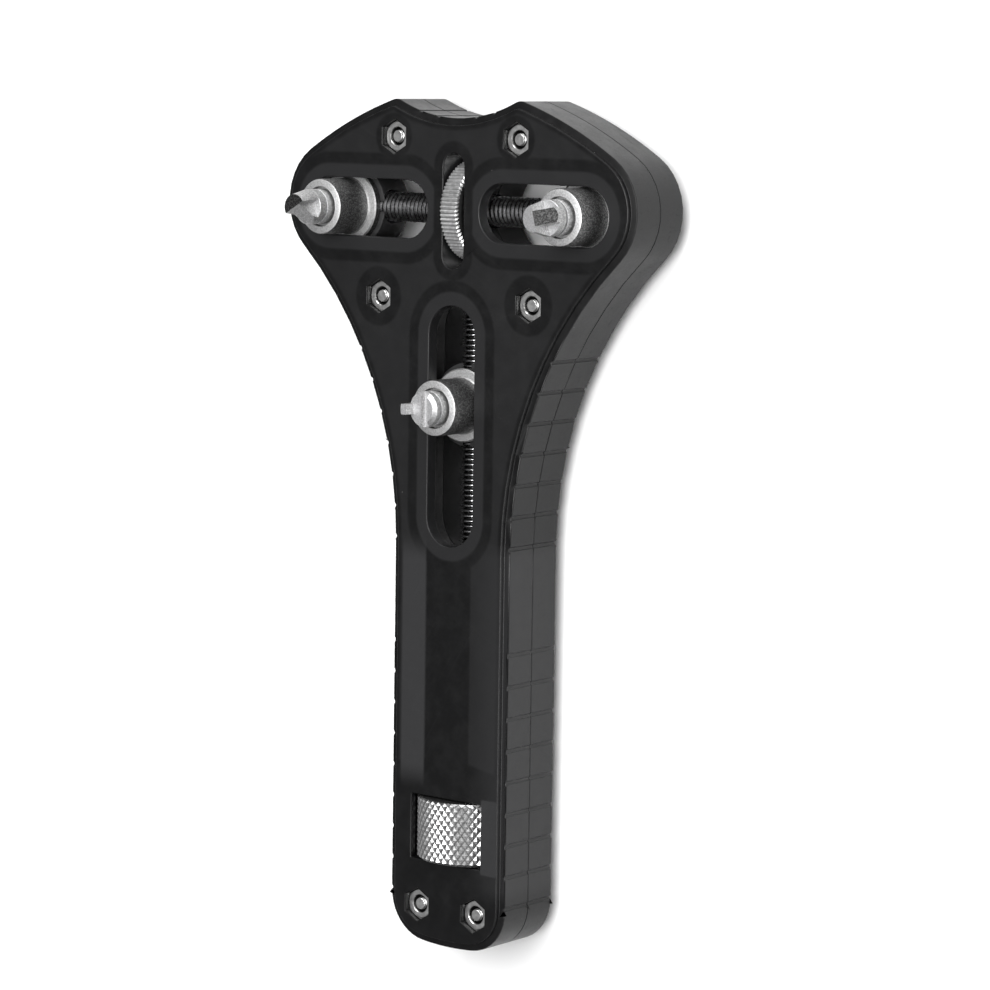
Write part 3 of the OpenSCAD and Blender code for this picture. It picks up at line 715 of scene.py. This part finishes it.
# ---------------------------------------------------------------- modelling
class Workshop:
    """Modelling steps that the sub-assemblies share. All sizes are millimetres."""

    thread_depth = 0.55
    thread_steps = 22

    @staticmethod
    def only(obj: Object) -> None:
        """Selects one object alone and makes it active."""
        bpy.ops.object.select_all(action="DESELECT")
        obj.select_set(True)
        bpy.context.view_layer.objects.active = obj

    @staticmethod
    def begin(name: str) -> Object:
        """Names the primitive that was just added and opens it for editing."""
        obj = bpy.context.object
        obj.name = name
        obj.data.name = name
        bpy.ops.object.mode_set(mode="EDIT")
        return obj

    @staticmethod
    def edit_all() -> None:
        """Opens the active object for editing with everything selected."""
        bpy.ops.object.mode_set(mode="EDIT")
        bpy.ops.mesh.select_all(action="SELECT")

    @staticmethod
    def end() -> None:
        """Leaves edit mode."""
        bpy.ops.object.mode_set(mode="OBJECT")

    @classmethod
    def drawn(cls, name: str, profile: Sequence[tuple[float, float]]) -> Object:
        """Draws an open line in the XZ plane by extruding one point.

        Args:
            name: Name of the object.
            profile: Radius and height of each point.

        Returns:
            The object, left in edit mode with everything selected.
        """
        bpy.ops.object.select_all(action="DESELECT")
        bpy.ops.mesh.primitive_plane_add(size=1.0)
        obj = cls.begin(name)
        bpy.ops.mesh.select_all(action="SELECT")
        bpy.ops.mesh.merge(type="CENTER")
        bpy.ops.transform.translate(value=(profile[0][0], 0.0, profile[0][1]))
        for (r0, z0), (r1, z1) in zip(profile, profile[1:]):
            bpy.ops.mesh.extrude_vertices_move(TRANSFORM_OT_translate={"value": (r1 - r0, 0.0, z1 - z0)})
        bpy.ops.mesh.select_all(action="SELECT")
        return obj

    @classmethod
    def turned(cls, name: str, profile: Sequence[tuple[float, float]], steps: int = 64) -> Object:
        """Turns a profile about Z.

        Args:
            name: Name of the object.
            profile: Radius and height of each point, from axis to axis or as a closed loop.
            steps: Steps round the turn.

        Returns:
            The closed object, in object mode.
        """
        obj = cls.drawn(name, profile)
        bpy.ops.mesh.spin(steps=steps, angle=2 * math.pi, center=(0, 0, 0), axis=(0, 0, 1))
        bpy.ops.mesh.select_all(action="SELECT")
        bpy.ops.mesh.remove_doubles(threshold=0.0005)
        bpy.ops.mesh.normals_make_consistent(inside=False)
        cls.end()
        return obj

    @classmethod
    def threaded(cls, name: str, radius: float, low: float, high: float, hand: Hand) -> Object:
        """A rod along Z with a one millimetre thread and flat ends.

        Args:
            name: Name of the object.
            radius: Radius of the crests.
            low: Height of the lower end.
            high: Height of the upper end.
            hand: Which way it winds.

        Returns:
            The closed object, in object mode.
        """
        root = radius - cls.thread_depth
        start = math.floor(low) - 1.0
        obj = cls.drawn(name, [
            (root, start), (root, start + 0.12), (radius, start + 0.44), (radius, start + 0.56),
            (root, start + 0.88), (root, start + 1.0)])
        cls.end()
        turn = obj.modifiers.new("thread", "SCREW")
        turn.axis = "Z"
        turn.angle = hand.value * 2 * math.pi
        turn.screw_offset = 1.0
        turn.iterations = math.ceil(high - start) + 2
        turn.steps = turn.render_steps = cls.thread_steps
        turn.use_merge_vertices = True
        turn.merge_threshold = 0.002
        turn.use_smooth_shade = False
        cls.apply(obj, turn)
        bpy.ops.object.mode_set(mode="EDIT")
        for height, up in ((high, 1), (low, -1)):
            bpy.ops.mesh.select_all(action="SELECT")
            bpy.ops.mesh.bisect(
                plane_co=(0, 0, height), plane_no=(0, 0, up), clear_outer=True, use_fill=True)
        bpy.ops.mesh.select_all(action="SELECT")
        bpy.ops.mesh.normals_make_consistent(inside=False)
        cls.end()
        return obj

    @classmethod
    def block(cls, name: str, low: Point, high: Point) -> Object:
        """A cutting block between two corners."""
        bpy.ops.object.select_all(action="DESELECT")
        bpy.ops.mesh.primitive_cube_add(size=1.0)
        obj = bpy.context.object
        obj.name = name
        obj.scale = [b - a for a, b in zip(low, high)]
        obj.location = [(a + b) / 2 for a, b in zip(low, high)]
        cls.freeze(obj)
        return obj

    @classmethod
    def rod(cls, name: str, radius: float, low: float, high: float, vertices: int = 48) -> Object:
        """A cutting rod along Z."""
        bpy.ops.object.select_all(action="DESELECT")
        bpy.ops.mesh.primitive_cylinder_add(vertices=vertices, radius=radius, depth=high - low)
        obj = bpy.context.object
        obj.name = name
        obj.location = (0, 0, (low + high) / 2)
        cls.freeze(obj)
        return obj

    @classmethod
    def freeze(cls, obj: Object) -> None:
        """Moves the object's place, turn and scale into its mesh."""
        cls.only(obj)
        bpy.ops.object.transform_apply(location=True, rotation=True, scale=True)

    @classmethod
    def turn_to(cls, obj: Object, axis: str) -> Object:
        """Lays an object that was made along Z along X or Y."""
        obj.rotation_euler = (0, math.pi / 2, 0) if axis == "X" else (-math.pi / 2, 0, 0)
        cls.freeze(obj)
        return obj

    @classmethod
    def apply(cls, obj: Object, modifier: bpy.types.Modifier) -> None:
        """Applies one modifier."""
        cls.only(obj)
        bpy.ops.object.modifier_apply(modifier=modifier.name)

    @classmethod
    def combine(cls, obj: Object, tool: Object, operation: str = "DIFFERENCE") -> None:
        """Cuts, joins or crosses an object with a tool, and removes the tool."""
        modifier = obj.modifiers.new("cut", "BOOLEAN")
        modifier.operation = operation
        modifier.solver = "EXACT"
        modifier.object = tool
        cls.apply(obj, modifier)
        bpy.data.objects.remove(tool)

    @classmethod
    def soften(cls, obj: Object, width: float, angle: float = 35.0, clamp: bool = False) -> None:
        """Rounds the edges that are sharper than an angle.

        Args:
            obj: The object.
            width: Width of the rounding.
            angle: Least angle of an edge, in degrees.
            clamp: Whether the width gives way where faces are small.
        """
        modifier = obj.modifiers.new("round", "BEVEL")
        modifier.width = width
        modifier.segments = 2
        modifier.limit_method = "ANGLE"
        modifier.angle_limit = math.radians(angle)
        modifier.use_clamp_overlap = clamp
        modifier.miter_outer = "MITER_ARC"
        cls.apply(obj, modifier)

    @classmethod
    def merged_copy(cls, source: Object, name: str) -> Object:
        """A copy of a CAD node at millimetre size, with its triangles merged into whole faces.

        Args:
            source: The CAD node.
            name: Name of the copy.

        Returns:
            The copy, in object mode.
        """
        obj = source.copy()
        obj.data = source.data.copy()
        obj.parent = None
        for key in list(obj.keys()):
            del obj[key]
        obj.name = name
        obj.data.name = name
        obj.data.materials.clear()
        bpy.context.scene.collection.objects.link(obj)
        obj.scale = (1 / MM, 1 / MM, 1 / MM)
        cls.freeze(obj)
        cls.edit_all()
        bpy.ops.mesh.remove_doubles(threshold=0.002)
        bpy.ops.mesh.dissolve_limited(angle_limit=math.radians(ONE_FACE))
        bpy.ops.mesh.vert_connect_concave()
        cls.end()
        return obj

    @classmethod
    def sink(cls, obj: Object, factor: float) -> None:
        """Moves an object's chosen points towards the Z axis."""
        cls.only(obj)
        for polygon in obj.data.polygons:
            polygon.select = False
        for edge in obj.data.edges:
            edge.select = False
        bpy.ops.object.mode_set(mode="EDIT")
        bpy.ops.mesh.select_mode(type="VERT")
        bpy.ops.transform.resize(value=(factor, factor, 1.0), center_override=(0.0, 0.0, 0.0))
        cls.end()

    @classmethod
    def twin(cls, obj: Object, name: str, shift: Point) -> Object:
        """A moved copy of an object with its own mesh."""
        copy = obj.copy()
        copy.data = obj.data.copy()
        copy.name = name
        copy.data.name = name
        bpy.context.scene.collection.objects.link(copy)
        copy.location = shift
        cls.freeze(copy)
        return copy

    @classmethod
    def join(cls, name: str, parts: Sequence[Object]) -> Object:
        """Joins several objects into one."""
        cls.only(parts[0])
        for part in parts[1:]:
            part.select_set(True)
        bpy.ops.object.join()
        parts[0].name = name
        parts[0].data.name = name
        return parts[0]

    @classmethod
    def settle(cls, obj: Object, finish: bpy.types.Material, smooth: float) -> None:
        """Brings a finished piece to metres, smooths its shading and gives it its finish.

        Args:
            obj: The piece, in millimetres.
            finish: Its material.
            smooth: Edges flatter than this many degrees are shaded smooth.
        """
        obj.scale = (MM, MM, MM)
        cls.freeze(obj)
        bpy.ops.object.shade_smooth_by_angle(angle=math.radians(smooth), keep_sharp_edges=False)
        obj.data.materials.clear()
        obj.data.materials.append(finish)

    @staticmethod
    def dress(nodes: dict[str, Object], names: Iterable[str], finish: bpy.types.Material) -> None:
        """Gives CAD nodes that stay visible their finish."""
        for name in names:
            node = nodes[name]
            node.data.materials.clear()
            node.data.materials.append(finish)


@dataclass
class Bench:
    """What every sub-assembly is built with."""

    frame: dict
    finishes: Finishes

    def mount(
        self,
        piece: Object,
        finish: str,
        body: str,
        node: str,
        smooth: float = 32.0,
        place: Point | None = None,
    ) -> None:
        """Finishes a piece, rides it on its body in place of its CAD node, and reports it.

        Args:
            piece: The piece, in millimetres.
            finish: Its finish.
            body: The body that it rides on.
            node: The CAD node that it replaces.
            smooth: Edges flatter than this many degrees are shaded smooth.
            place: Where its origin goes, if it is not modelled in place.
        """
        if place:
            piece.location = place
            Workshop.freeze(piece)
        Workshop.settle(piece, self.finishes.get(finish), smooth)
        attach(piece, body)
        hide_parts(node)
        LOG.info("%s: %d faces, rides on %s", piece.name, len(piece.data.polygons), body)


# ---------------------------------------------------------------- sub-assemblies
@dataclass
class HalfShells:
    """The two moulded half shells."""

    edge_round: float = 0.2
    round_above: float = 70.0
    smooth: float = 19.0

    def build(self, bench: Bench) -> None:
        """Builds both shells with rounded edges."""
        for node, name in (("front_shell", "front_half_shell"), ("rear_shell", "rear_half_shell")):
            shell = Workshop.merged_copy(bench.frame["nodes"][node], name)
            Workshop.soften(shell, self.edge_round, self.round_above)
            bench.mount(shell, "shell", Body.HOUSING.value, node, self.smooth)


@dataclass
class CaseFasteners:
    """Six hexagon nuts and six cross-recessed screws."""

    across_flats: float = 5.5
    nut_t: float = 2.4
    nut_out_z: float = 6.95
    screw_r: float = 1.48
    head_r: float = 2.8
    head_low: float = -7.6
    head_t: float = 2.0
    cross_w: float = 0.7
    cross_len: float = 3.0
    cross_depth: float = 1.1
    bore_r: float = 1.5
    countersink_r: float = 1.9
    edge_round: float = 0.07
    round_above: float = 25.0
    smooth: float = 25.0

    def nut(self) -> Object:
        """One nut with chamfered corners and a countersunk bore."""
        low, high = self.nut_out_z - self.nut_t, self.nut_out_z
        flat, corner = self.across_flats / 2, self.across_flats / math.sqrt(3)
        nut = Workshop.rod("nut", corner, low, high, 6)
        chamfer = (corner - flat) * 0.62
        inner, outer = flat - 0.05, corner + 0.05
        barrel = Workshop.turned("barrel", [
            (0, low), (inner, low), (outer, low + chamfer), (outer, high - chamfer),
            (inner, high), (0, high)], 72)
        Workshop.combine(nut, barrel, "INTERSECT")
        r, mouth = self.bore_r, self.countersink_r
        bore = Workshop.turned("bore", [
            (0, low - 1), (r, low - 1), (r, high - 0.5), (mouth, high + 0.02),
            (mouth, high + 1), (0, high + 1)], 40)
        Workshop.combine(nut, bore)
        Workshop.soften(nut, self.edge_round, self.round_above, True)
        return nut

    def screw(self) -> Object:
        """One screw with a domed head below and a chamfered end above."""
        low, seat, end = self.head_low, self.head_low + self.head_t, self.nut_out_z
        r, shaft = self.head_r, self.screw_r
        screw = Workshop.turned("screw", [
            (0, low), (r * 0.45, low + 0.03), (r * 0.75, low + 0.16), (r * 0.93, low + 0.5), (r, low + 1.0),
            (r, seat - 0.1), (r - 0.1, seat), (shaft, seat), (shaft, end - 0.7), (shaft - 0.35, end - 0.4),
            (shaft - 0.35, end - 0.1), (shaft - 0.45, end), (0, end)], 40)
        for long_x in (True, False):
            dx, dy = (self.cross_len, self.cross_w) if long_x else (self.cross_w, self.cross_len)
            cut = Workshop.block("cross", (-dx / 2, -dy / 2, self.head_low - 1),
                                 (dx / 2, dy / 2, self.head_low + self.cross_depth))
            Workshop.combine(screw, cut)
        return screw

    def build(self, bench: Bench) -> None:
        """Models one nut and one screw and copies them to the six sites."""
        for one, name in ((self.nut(), "case_nut"), (self.screw(), "case_screw")):
            copies = [
                Workshop.twin(one, f"{name}_{i + 1}", (x, y, MID_Z)) for i, (x, y) in enumerate(SCREW_SITES)]
            bpy.data.objects.remove(one)
            for copy in copies:
                bench.mount(copy, "nickel", Body.HOUSING.value, name + "s", self.smooth)


@dataclass
class CrossSpindle:
    """The left/right-hand spindle with its ribbed thumbwheel."""

    crest_r: float = 2.9
    journal_r: float = 2.0
    shoulder: float = 39.85
    end: float = 41.55
    wheel_r: float = 9.75
    wheel_w: float = 4.4
    boss_half: float = 2.3
    rib_count: int = 76
    rib_depth: float = 0.36
    wheel_smooth: float = 20.0

    def spindle(self) -> Object:
        """The spindle with a left-hand thread on its left half and a right-hand one on its right."""
        right = Workshop.threaded("right_thread", self.crest_r, 2.2, self.shoulder, Hand.RIGHT)
        left = Workshop.threaded("left_thread", self.crest_r, -self.shoulder, -2.2, Hand.LEFT)
        crest, j, b = self.crest_r, self.journal_r, self.boss_half
        r = crest - 0.5 - 0.2
        step, end = self.shoulder - 0.5, self.end
        core = Workshop.turned("core", [
            (0, -end), (j - 0.3, -end), (j, 0.3 - end), (j, -step), (r, -step), (r, -b), (crest, -b),
            (crest, b), (r, b), (r, step), (j, step), (j, end - 0.3), (j - 0.3, end), (0, end)], 32)
        return Workshop.turn_to(Workshop.join("cross_spindle_thread", [core, left, right]), "X")

    def wheel(self) -> Object:
        """The thumbwheel: a turned disc with a hollow in each side and straight ribs round its rim."""
        half, r, bore = self.wheel_w / 2, self.wheel_r, self.crest_r
        floor = half - 0.35
        wheel = Workshop.turned("thumbwheel_ribbed", [
            (bore, -half), (4.2, -half), (4.5, -floor), (7.9, -floor), (8.2, -half), (r - 0.4, -half),
            (r, 0.4 - half), (r, half - 0.4), (r - 0.4, half), (8.2, half), (7.9, floor), (4.5, floor),
            (4.2, half), (bore, half), (bore, -half)], self.rib_count * 2)
        step = math.pi / self.rib_count
        for vertex in wheel.data.vertices:
            angle = math.atan2(vertex.co.y, vertex.co.x)
            vertex.select = math.hypot(vertex.co.x, vertex.co.y) > r - 0.45 and round(angle / step) % 2 == 1
        Workshop.sink(wheel, (r - self.rib_depth) / r)
        return Workshop.turn_to(wheel, "X")

    def build(self, bench: Bench) -> None:
        """Builds the spindle and the wheel and dresses what stays hidden."""
        body, place = Body.SPINDLE.value, (0.0, UPPER_Y, MID_Z)
        bench.mount(self.spindle(), "black", body, "cross_spindle", place=place)
        bench.mount(self.wheel(), "wheel", body, "thumbwheel", self.wheel_smooth, place)
        hidden = ["thumbwheel_pin", "wheel_washers"]
        Workshop.dress(bench.frame["nodes"], hidden, bench.finishes.get("nickel"))


@dataclass
class LeadScrew:
    """The lengthwise screw with its knurled knob."""

    crest_r: float = 2.9
    journal_r: float = 2.0
    low: float = -65.2
    high: float = 46.25
    tail: float = -69.5
    tip: float = 48.95
    knob_y: float = -58.9
    knob_r: float = 10.7
    knob_len: float = 12.2
    cells_round: int = 44
    rows: int = 12
    knurl_depth: float = 0.34
    knob_smooth: float = 15.0

    def screw(self) -> Object:
        """The screw, threaded above the knob and plain inside it."""
        thread_low = self.knob_y + self.knob_len / 2 + 0.6
        thread = Workshop.threaded("lead_thread", self.crest_r, thread_low, self.high, Hand.RIGHT)
        crest, j, r = self.crest_r, self.journal_r, self.crest_r - 0.7
        tail, tip, plain, step = self.tail, self.tip, thread_low + 0.1, self.high - 0.5
        core = Workshop.turned("lead_core", [
            (0, tail), (j - 0.3, tail), (j, tail + 0.3), (j, self.low), (crest, self.low), (crest, plain),
            (r, plain), (r, step), (j, step), (j, tip - 0.3), (j - 0.3, tip), (0, tip)], 32)
        return Workshop.turn_to(Workshop.join("lead_screw_thread", [core, thread]), "Y")

    def knob(self) -> Object:
        """The knob: a turned sleeve whose outside is raised to diamonds."""
        half, r, bore, edge = self.knob_len / 2, self.knob_r, self.crest_r, 0.5
        pitch = (self.knob_len - 2 * edge) / self.rows
        rows = [(r, -half + edge + pitch * i) for i in range(self.rows + 1)]
        knob = Workshop.turned("handle_knob_knurled", [
            (bore, -half), (8.0, -half), (8.3, -half), (r - edge, -half), *rows, (r - edge, half),
            (8.3, half), (8.0, half), (bore, half), (bore, -half)], self.cells_round * 2)
        step = math.pi / self.cells_round
        for vertex in knob.data.vertices:
            column = round(math.atan2(vertex.co.y, vertex.co.x) / step)
            row = round((vertex.co.z + half - edge) / pitch)
            vertex.select = math.hypot(vertex.co.x, vertex.co.y) > r - 0.05 and (column + row) % 2 == 1
        Workshop.sink(knob, (r - self.knurl_depth) / r)
        Workshop.edit_all()
        bpy.ops.mesh.quads_convert_to_tris(quad_method="SHORTEST_DIAGONAL")
        Workshop.end()
        return Workshop.turn_to(knob, "Y")

    def build(self, bench: Bench) -> None:
        """Builds the screw and the knob and dresses what stays hidden."""
        body, at_knob = Body.SCREW.value, (0.0, self.knob_y, MID_Z)
        bench.mount(self.screw(), "lead", body, "lead_screw", place=(0.0, 0.0, MID_Z))
        bench.mount(self.knob(), "knob", body, "handle_knob", self.knob_smooth, at_knob)
        Workshop.dress(bench.frame["nodes"], ["knob_pin", "knob_washers"], bench.finishes.get("nickel"))


@dataclass
class Jaw:
    """One jaw: its post, its sliding shoe, its bit and the bit's friction ring.

    Args:
        side: Which jaw it is, as its nodes are named.
        x: Its place across the tool.
        y: Its place along the tool.
        screw_axis: The axis of the screw that moves it.
        bit_turn: How far its bit is turned, in degrees.
    """

    side: str
    x: float
    y: float
    screw_axis: str
    bit_turn: float
    post_r: float = 5.35
    body_r: float = 5.5
    flange_r: float = 7.1
    flange_z: float = 3.2
    flange_t: float = 1.6
    body_low: float = 4.3
    post_top: float = 13.0
    socket_r: float = 3.3
    mouth_r: float = 3.8
    mouth_depth: float = 1.0
    socket_floor: float = 5.4
    bore_r: float = 2.95
    shoe_round: float = 0.15
    bit_smooth: float = 19.0

    def post(self) -> Object:
        """The post with its flange, threaded body and socket."""
        top, low, body, post_r = self.post_top, -self.body_low, self.body_r, self.post_r
        seat, rim, flange = self.flange_z, self.flange_z + self.flange_t, self.flange_r
        mouth, socket, step = self.mouth_r, self.socket_r, top - self.mouth_depth
        post = Workshop.turned(f"{self.side}_post_turned", [
            (0, low), (body - 0.25, low), (body, low + 0.25), (body, seat), (flange - 0.2, seat),
            (flange, seat + 0.2), (flange, rim - 0.25), (flange - 0.25, rim), (post_r + 0.25, rim),
            (post_r, rim + 0.25), (post_r, top - 0.3), (post_r - 0.12, top - 0.08), (post_r - 0.32, top),
            (mouth + 0.12, top), (mouth, top - 0.12), (mouth, step), (socket, step),
            (socket, self.socket_floor), (0, self.socket_floor)], 72)
        bore = Workshop.turn_to(Workshop.rod("screw_bore", self.bore_r, -12.0, 12.0), self.screw_axis)
        Workshop.combine(post, bore)
        return post

    def build(self, bench: Bench) -> None:
        """Builds the jaw's pieces on its two bodies."""
        side, body, place = self.side, f"{self.side}_jaw", (self.x, self.y, MID_Z)
        nodes = bench.frame["nodes"]
        bench.mount(self.post(), "post", body, f"{side}_jaw_post", place=place)
        shoe = Workshop.merged_copy(nodes[f"{side}_slide_shoe"], f"{side}_shoe_moulded")
        Workshop.soften(shoe, self.shoe_round)
        bench.mount(shoe, "shoe", body, f"{side}_slide_shoe")
        bit = Bit(f"{side}_bit_ground", self.bit_turn, side != "lower").build()
        finish = node = f"{side}_bit"
        bench.mount(bit, finish, f"{side}_bit_body", node, self.bit_smooth, place)
        Workshop.dress(nodes, [f"{side}_bit_ring"], bench.finishes.get("ring"))


@dataclass
class Bit:
    """One interchangeable bit, turned and then ground.

    Args:
        name: The piece's name.
        turn: How far it is turned in its socket, in degrees.
        claw: Whether it ends in a sloping claw; otherwise it ends in a slotted head with a lug.
    """

    name: str
    turn: float
    claw: bool
    shank_r: float = 3.25
    head_r: float = 3.4
    tip_r: float = 2.5
    low: float = 5.6
    seat: float = 12.0
    neck_low: float = 14.5
    neck_w: float = 0.5
    ring_low: float = 7.93
    ring_high: float = 8.87
    ring_r: float = 2.37
    face: float = 16.6
    top: float = 20.4
    chamfer: float = 0.7
    sharp: float = 0.12
    edge_round: float = 0.09
    round_above: float = 38.0
    tongue_w: float = 2.8
    lug: tuple[float, float, float] = (1.4, 2.0, 2.1)
    slot: tuple[float, float] = (1.4, 1.0)
    overlap: float = 0.4

    def shank(self) -> Object:
        """The turned shank and head up to the shoulder."""
        r, s, ring, seat, face = self.head_r, self.shank_r, self.ring_r, self.seat, self.face
        neck, under, over = r - self.neck_w, self.neck_low, self.neck_low + self.neck_w
        edge = self.sharp if self.claw else self.chamfer
        return Workshop.turned(self.name, [
            (0, self.low), (s - 0.2, self.low), (s, self.low + 0.2), (s, self.ring_low),
            (ring, self.ring_low), (ring, self.ring_high), (s, self.ring_high), (s, seat),
            (r - 0.08, seat), (r, seat + 0.08),
            (r, under - 0.06), (r - 0.06, under), (neck, under), (neck, over), (r - 0.06, over),
            (r, over + 0.06), (r, face - edge), (r - edge, face), (0, face)], 72)

    def claw_head(self) -> Object:
        """A tapered half head with a tongue that slopes down across the other half."""
        r, foot, rise = self.head_r, self.face - self.overlap, self.top - self.face
        cone = Workshop.turned("cone", [
            (0, foot), (r - 0.03, foot), (r - 0.03, self.face), (self.tip_r, self.top), (0, self.top)], 72)
        below, above, wide = foot - 0.1, self.top + 1, self.tongue_w / 2
        half = Workshop.block("half", (-2 * r, -2 * r, below), (0, 2 * r, above))
        tongue = Workshop.block("tongue", (-1, -wide, below), (2 * r, wide, above))
        Workshop.only(tongue)
        Workshop.edit_all()
        bpy.ops.mesh.bisect(
            plane_co=(0, 0, self.top), plane_no=(rise * 0.8, 0, r), clear_outer=True, use_fill=True)
        Workshop.end()
        Workshop.combine(half, tongue, "UNION")
        Workshop.combine(cone, half, "INTERSECT")
        return cone

    def lug_head(self) -> Object:
        """A small lug at the head's edge."""
        thick, wide, high = self.lug
        foot, end, r = self.neck_low + 2 * self.neck_w, self.face + high, self.head_r
        round_bar = Workshop.rod("round_bar", r - 0.01, foot, end, 72)
        side = Workshop.block("side", (-r, -wide / 2, foot - 1), (thick - r, wide / 2, end + 1))
        Workshop.combine(round_bar, side, "INTERSECT")
        return round_bar

    def build(self) -> Object:
        """The finished bit about Z, in millimetres."""
        bit = self.shank()
        Workshop.combine(bit, self.claw_head() if self.claw else self.lug_head(), "UNION")
        if not self.claw:
            wide, deep = self.slot
            Workshop.combine(bit, Workshop.block("slot", (0, -5, self.face - deep), (wide, 5, self.face + 5)))
        Workshop.edit_all()
        bpy.ops.mesh.dissolve_limited(angle_limit=math.radians(ONE_FACE))
        Workshop.end()
        Workshop.soften(bit, self.edge_round, self.round_above, True)
        bit.rotation_euler = (0, 0, math.radians(self.turn))
        Workshop.freeze(bit)
        return bit


# ---------------------------------------------------------------- studio
@dataclass(frozen=True)
class Softbox:
    """A soft area light.

    Args:
        name: Its name.
        place: Where it stands, in metres.
        size: Its width and height, in metres.
        power: Its power, in watts.
    """

    name: str
    place: Point
    size: tuple[float, float]
    power: float

    def light(self, aim: Vector) -> None:
        """Adds the light, turned towards a point."""
        data = bpy.data.lights.new(self.name, "AREA")
        data.shape = "RECTANGLE"
        data.size, data.size_y = self.size
        data.energy = self.power
        lamp = bpy.data.objects.new(self.name, data)
        bpy.context.scene.collection.objects.link(lamp)
        lamp.location = self.place
        lamp.rotation_euler = (aim - Vector(self.place)).to_track_quat("-Z", "Y").to_euler()


@dataclass
class Studio:
    """A plain pale floor, soft lights and the camera."""

    floor_z: float = 0.0
    floor_size: float = 6.0
    floor_grey: float = 0.9
    aim: Point = (0.0, 0.0, 0.01)
    lens: float = 127.16
    camera_place: Point = (0.42736, 0.08742, 0.52804)
    camera_right: Point = (0.77326, 0.01405, -0.63393)
    camera_up: Point = (-0.08701, 0.99265, -0.08413)
    camera_back: Point = (0.62809, 0.12021, 0.76880)
    world_grey: float = 0.2
    boxes: tuple[Softbox, ...] = (
        Softbox("overhead_softbox", (0.45, 0.2, 1.15), (0.9, 0.9), 22.0),
        Softbox("head_softbox", (0.05, 1.0, 0.55), (0.9, 0.4), 9.0),
        Softbox("side_softbox", (1.1, -0.2, 0.4), (0.35, 0.9), 1.0),
    )

    def floor(self) -> None:
        """A wide pale floor under the tool."""
        bpy.ops.object.select_all(action="DESELECT")
        bpy.ops.mesh.primitive_plane_add(size=self.floor_size, location=(0, 0, self.floor_z))
        floor = bpy.context.object
        floor.name = "studio_floor"
        material = bpy.data.materials.new("pale_floor")
        material.use_nodes = True
        shader = material.node_tree.nodes["Principled BSDF"]
        shader.inputs["Base Color"].default_value = (*[self.floor_grey] * 3, 1)
        shader.inputs["Roughness"].default_value = 0.9
        floor.data.materials.append(material)

    def camera(self) -> None:
        """The camera at its measured place and turn."""
        data = bpy.data.cameras.new("view_camera")
        data.sensor_width = 36.0
        data.lens = self.lens
        data.clip_start = 0.01
        data.clip_end = 20.0
        camera = bpy.data.objects.new("view_camera", data)
        bpy.context.scene.collection.objects.link(camera)
        axes = Matrix((self.camera_right, self.camera_up, self.camera_back)).transposed().to_4x4()
        camera.matrix_world = Matrix.Translation(self.camera_place) @ axes
        bpy.context.scene.camera = camera

    def world(self) -> None:
        """An even grey surround."""
        world = bpy.data.worlds.new("studio_world")
        world.use_nodes = True
        background = world.node_tree.nodes["Background"]
        grey = self.world_grey
        background.inputs["Color"].default_value = (grey, grey, grey * 1.01, 1)
        background.inputs["Strength"].default_value = 1.0
        bpy.context.scene.world = world

    def build(self) -> None:
        """Sets up the whole studio."""
        bpy.context.scene.view_settings.view_transform = "Standard"
        self.floor()
        self.camera()
        self.world()
        for box in self.boxes:
            box.light(Vector(self.aim))


def main() -> None:
    logging.basicConfig(level=logging.INFO, format="%(name)s: %(message)s")
    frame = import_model()
    Studio().build()
    bench = Bench(frame, Finishes())
    assemblies = (
        HalfShells(), CaseFasteners(), CrossSpindle(), LeadScrew(),
        Jaw("left", -29.5, UPPER_Y, "X", -60.0), Jaw("right", 29.5, UPPER_Y, "X", 15.0),
        Jaw("lower", 0.0, 23.8, "Y", 0.0))
    for assembly in assemblies:
        assembly.build(bench)


if __name__ == "__main__":
    main()
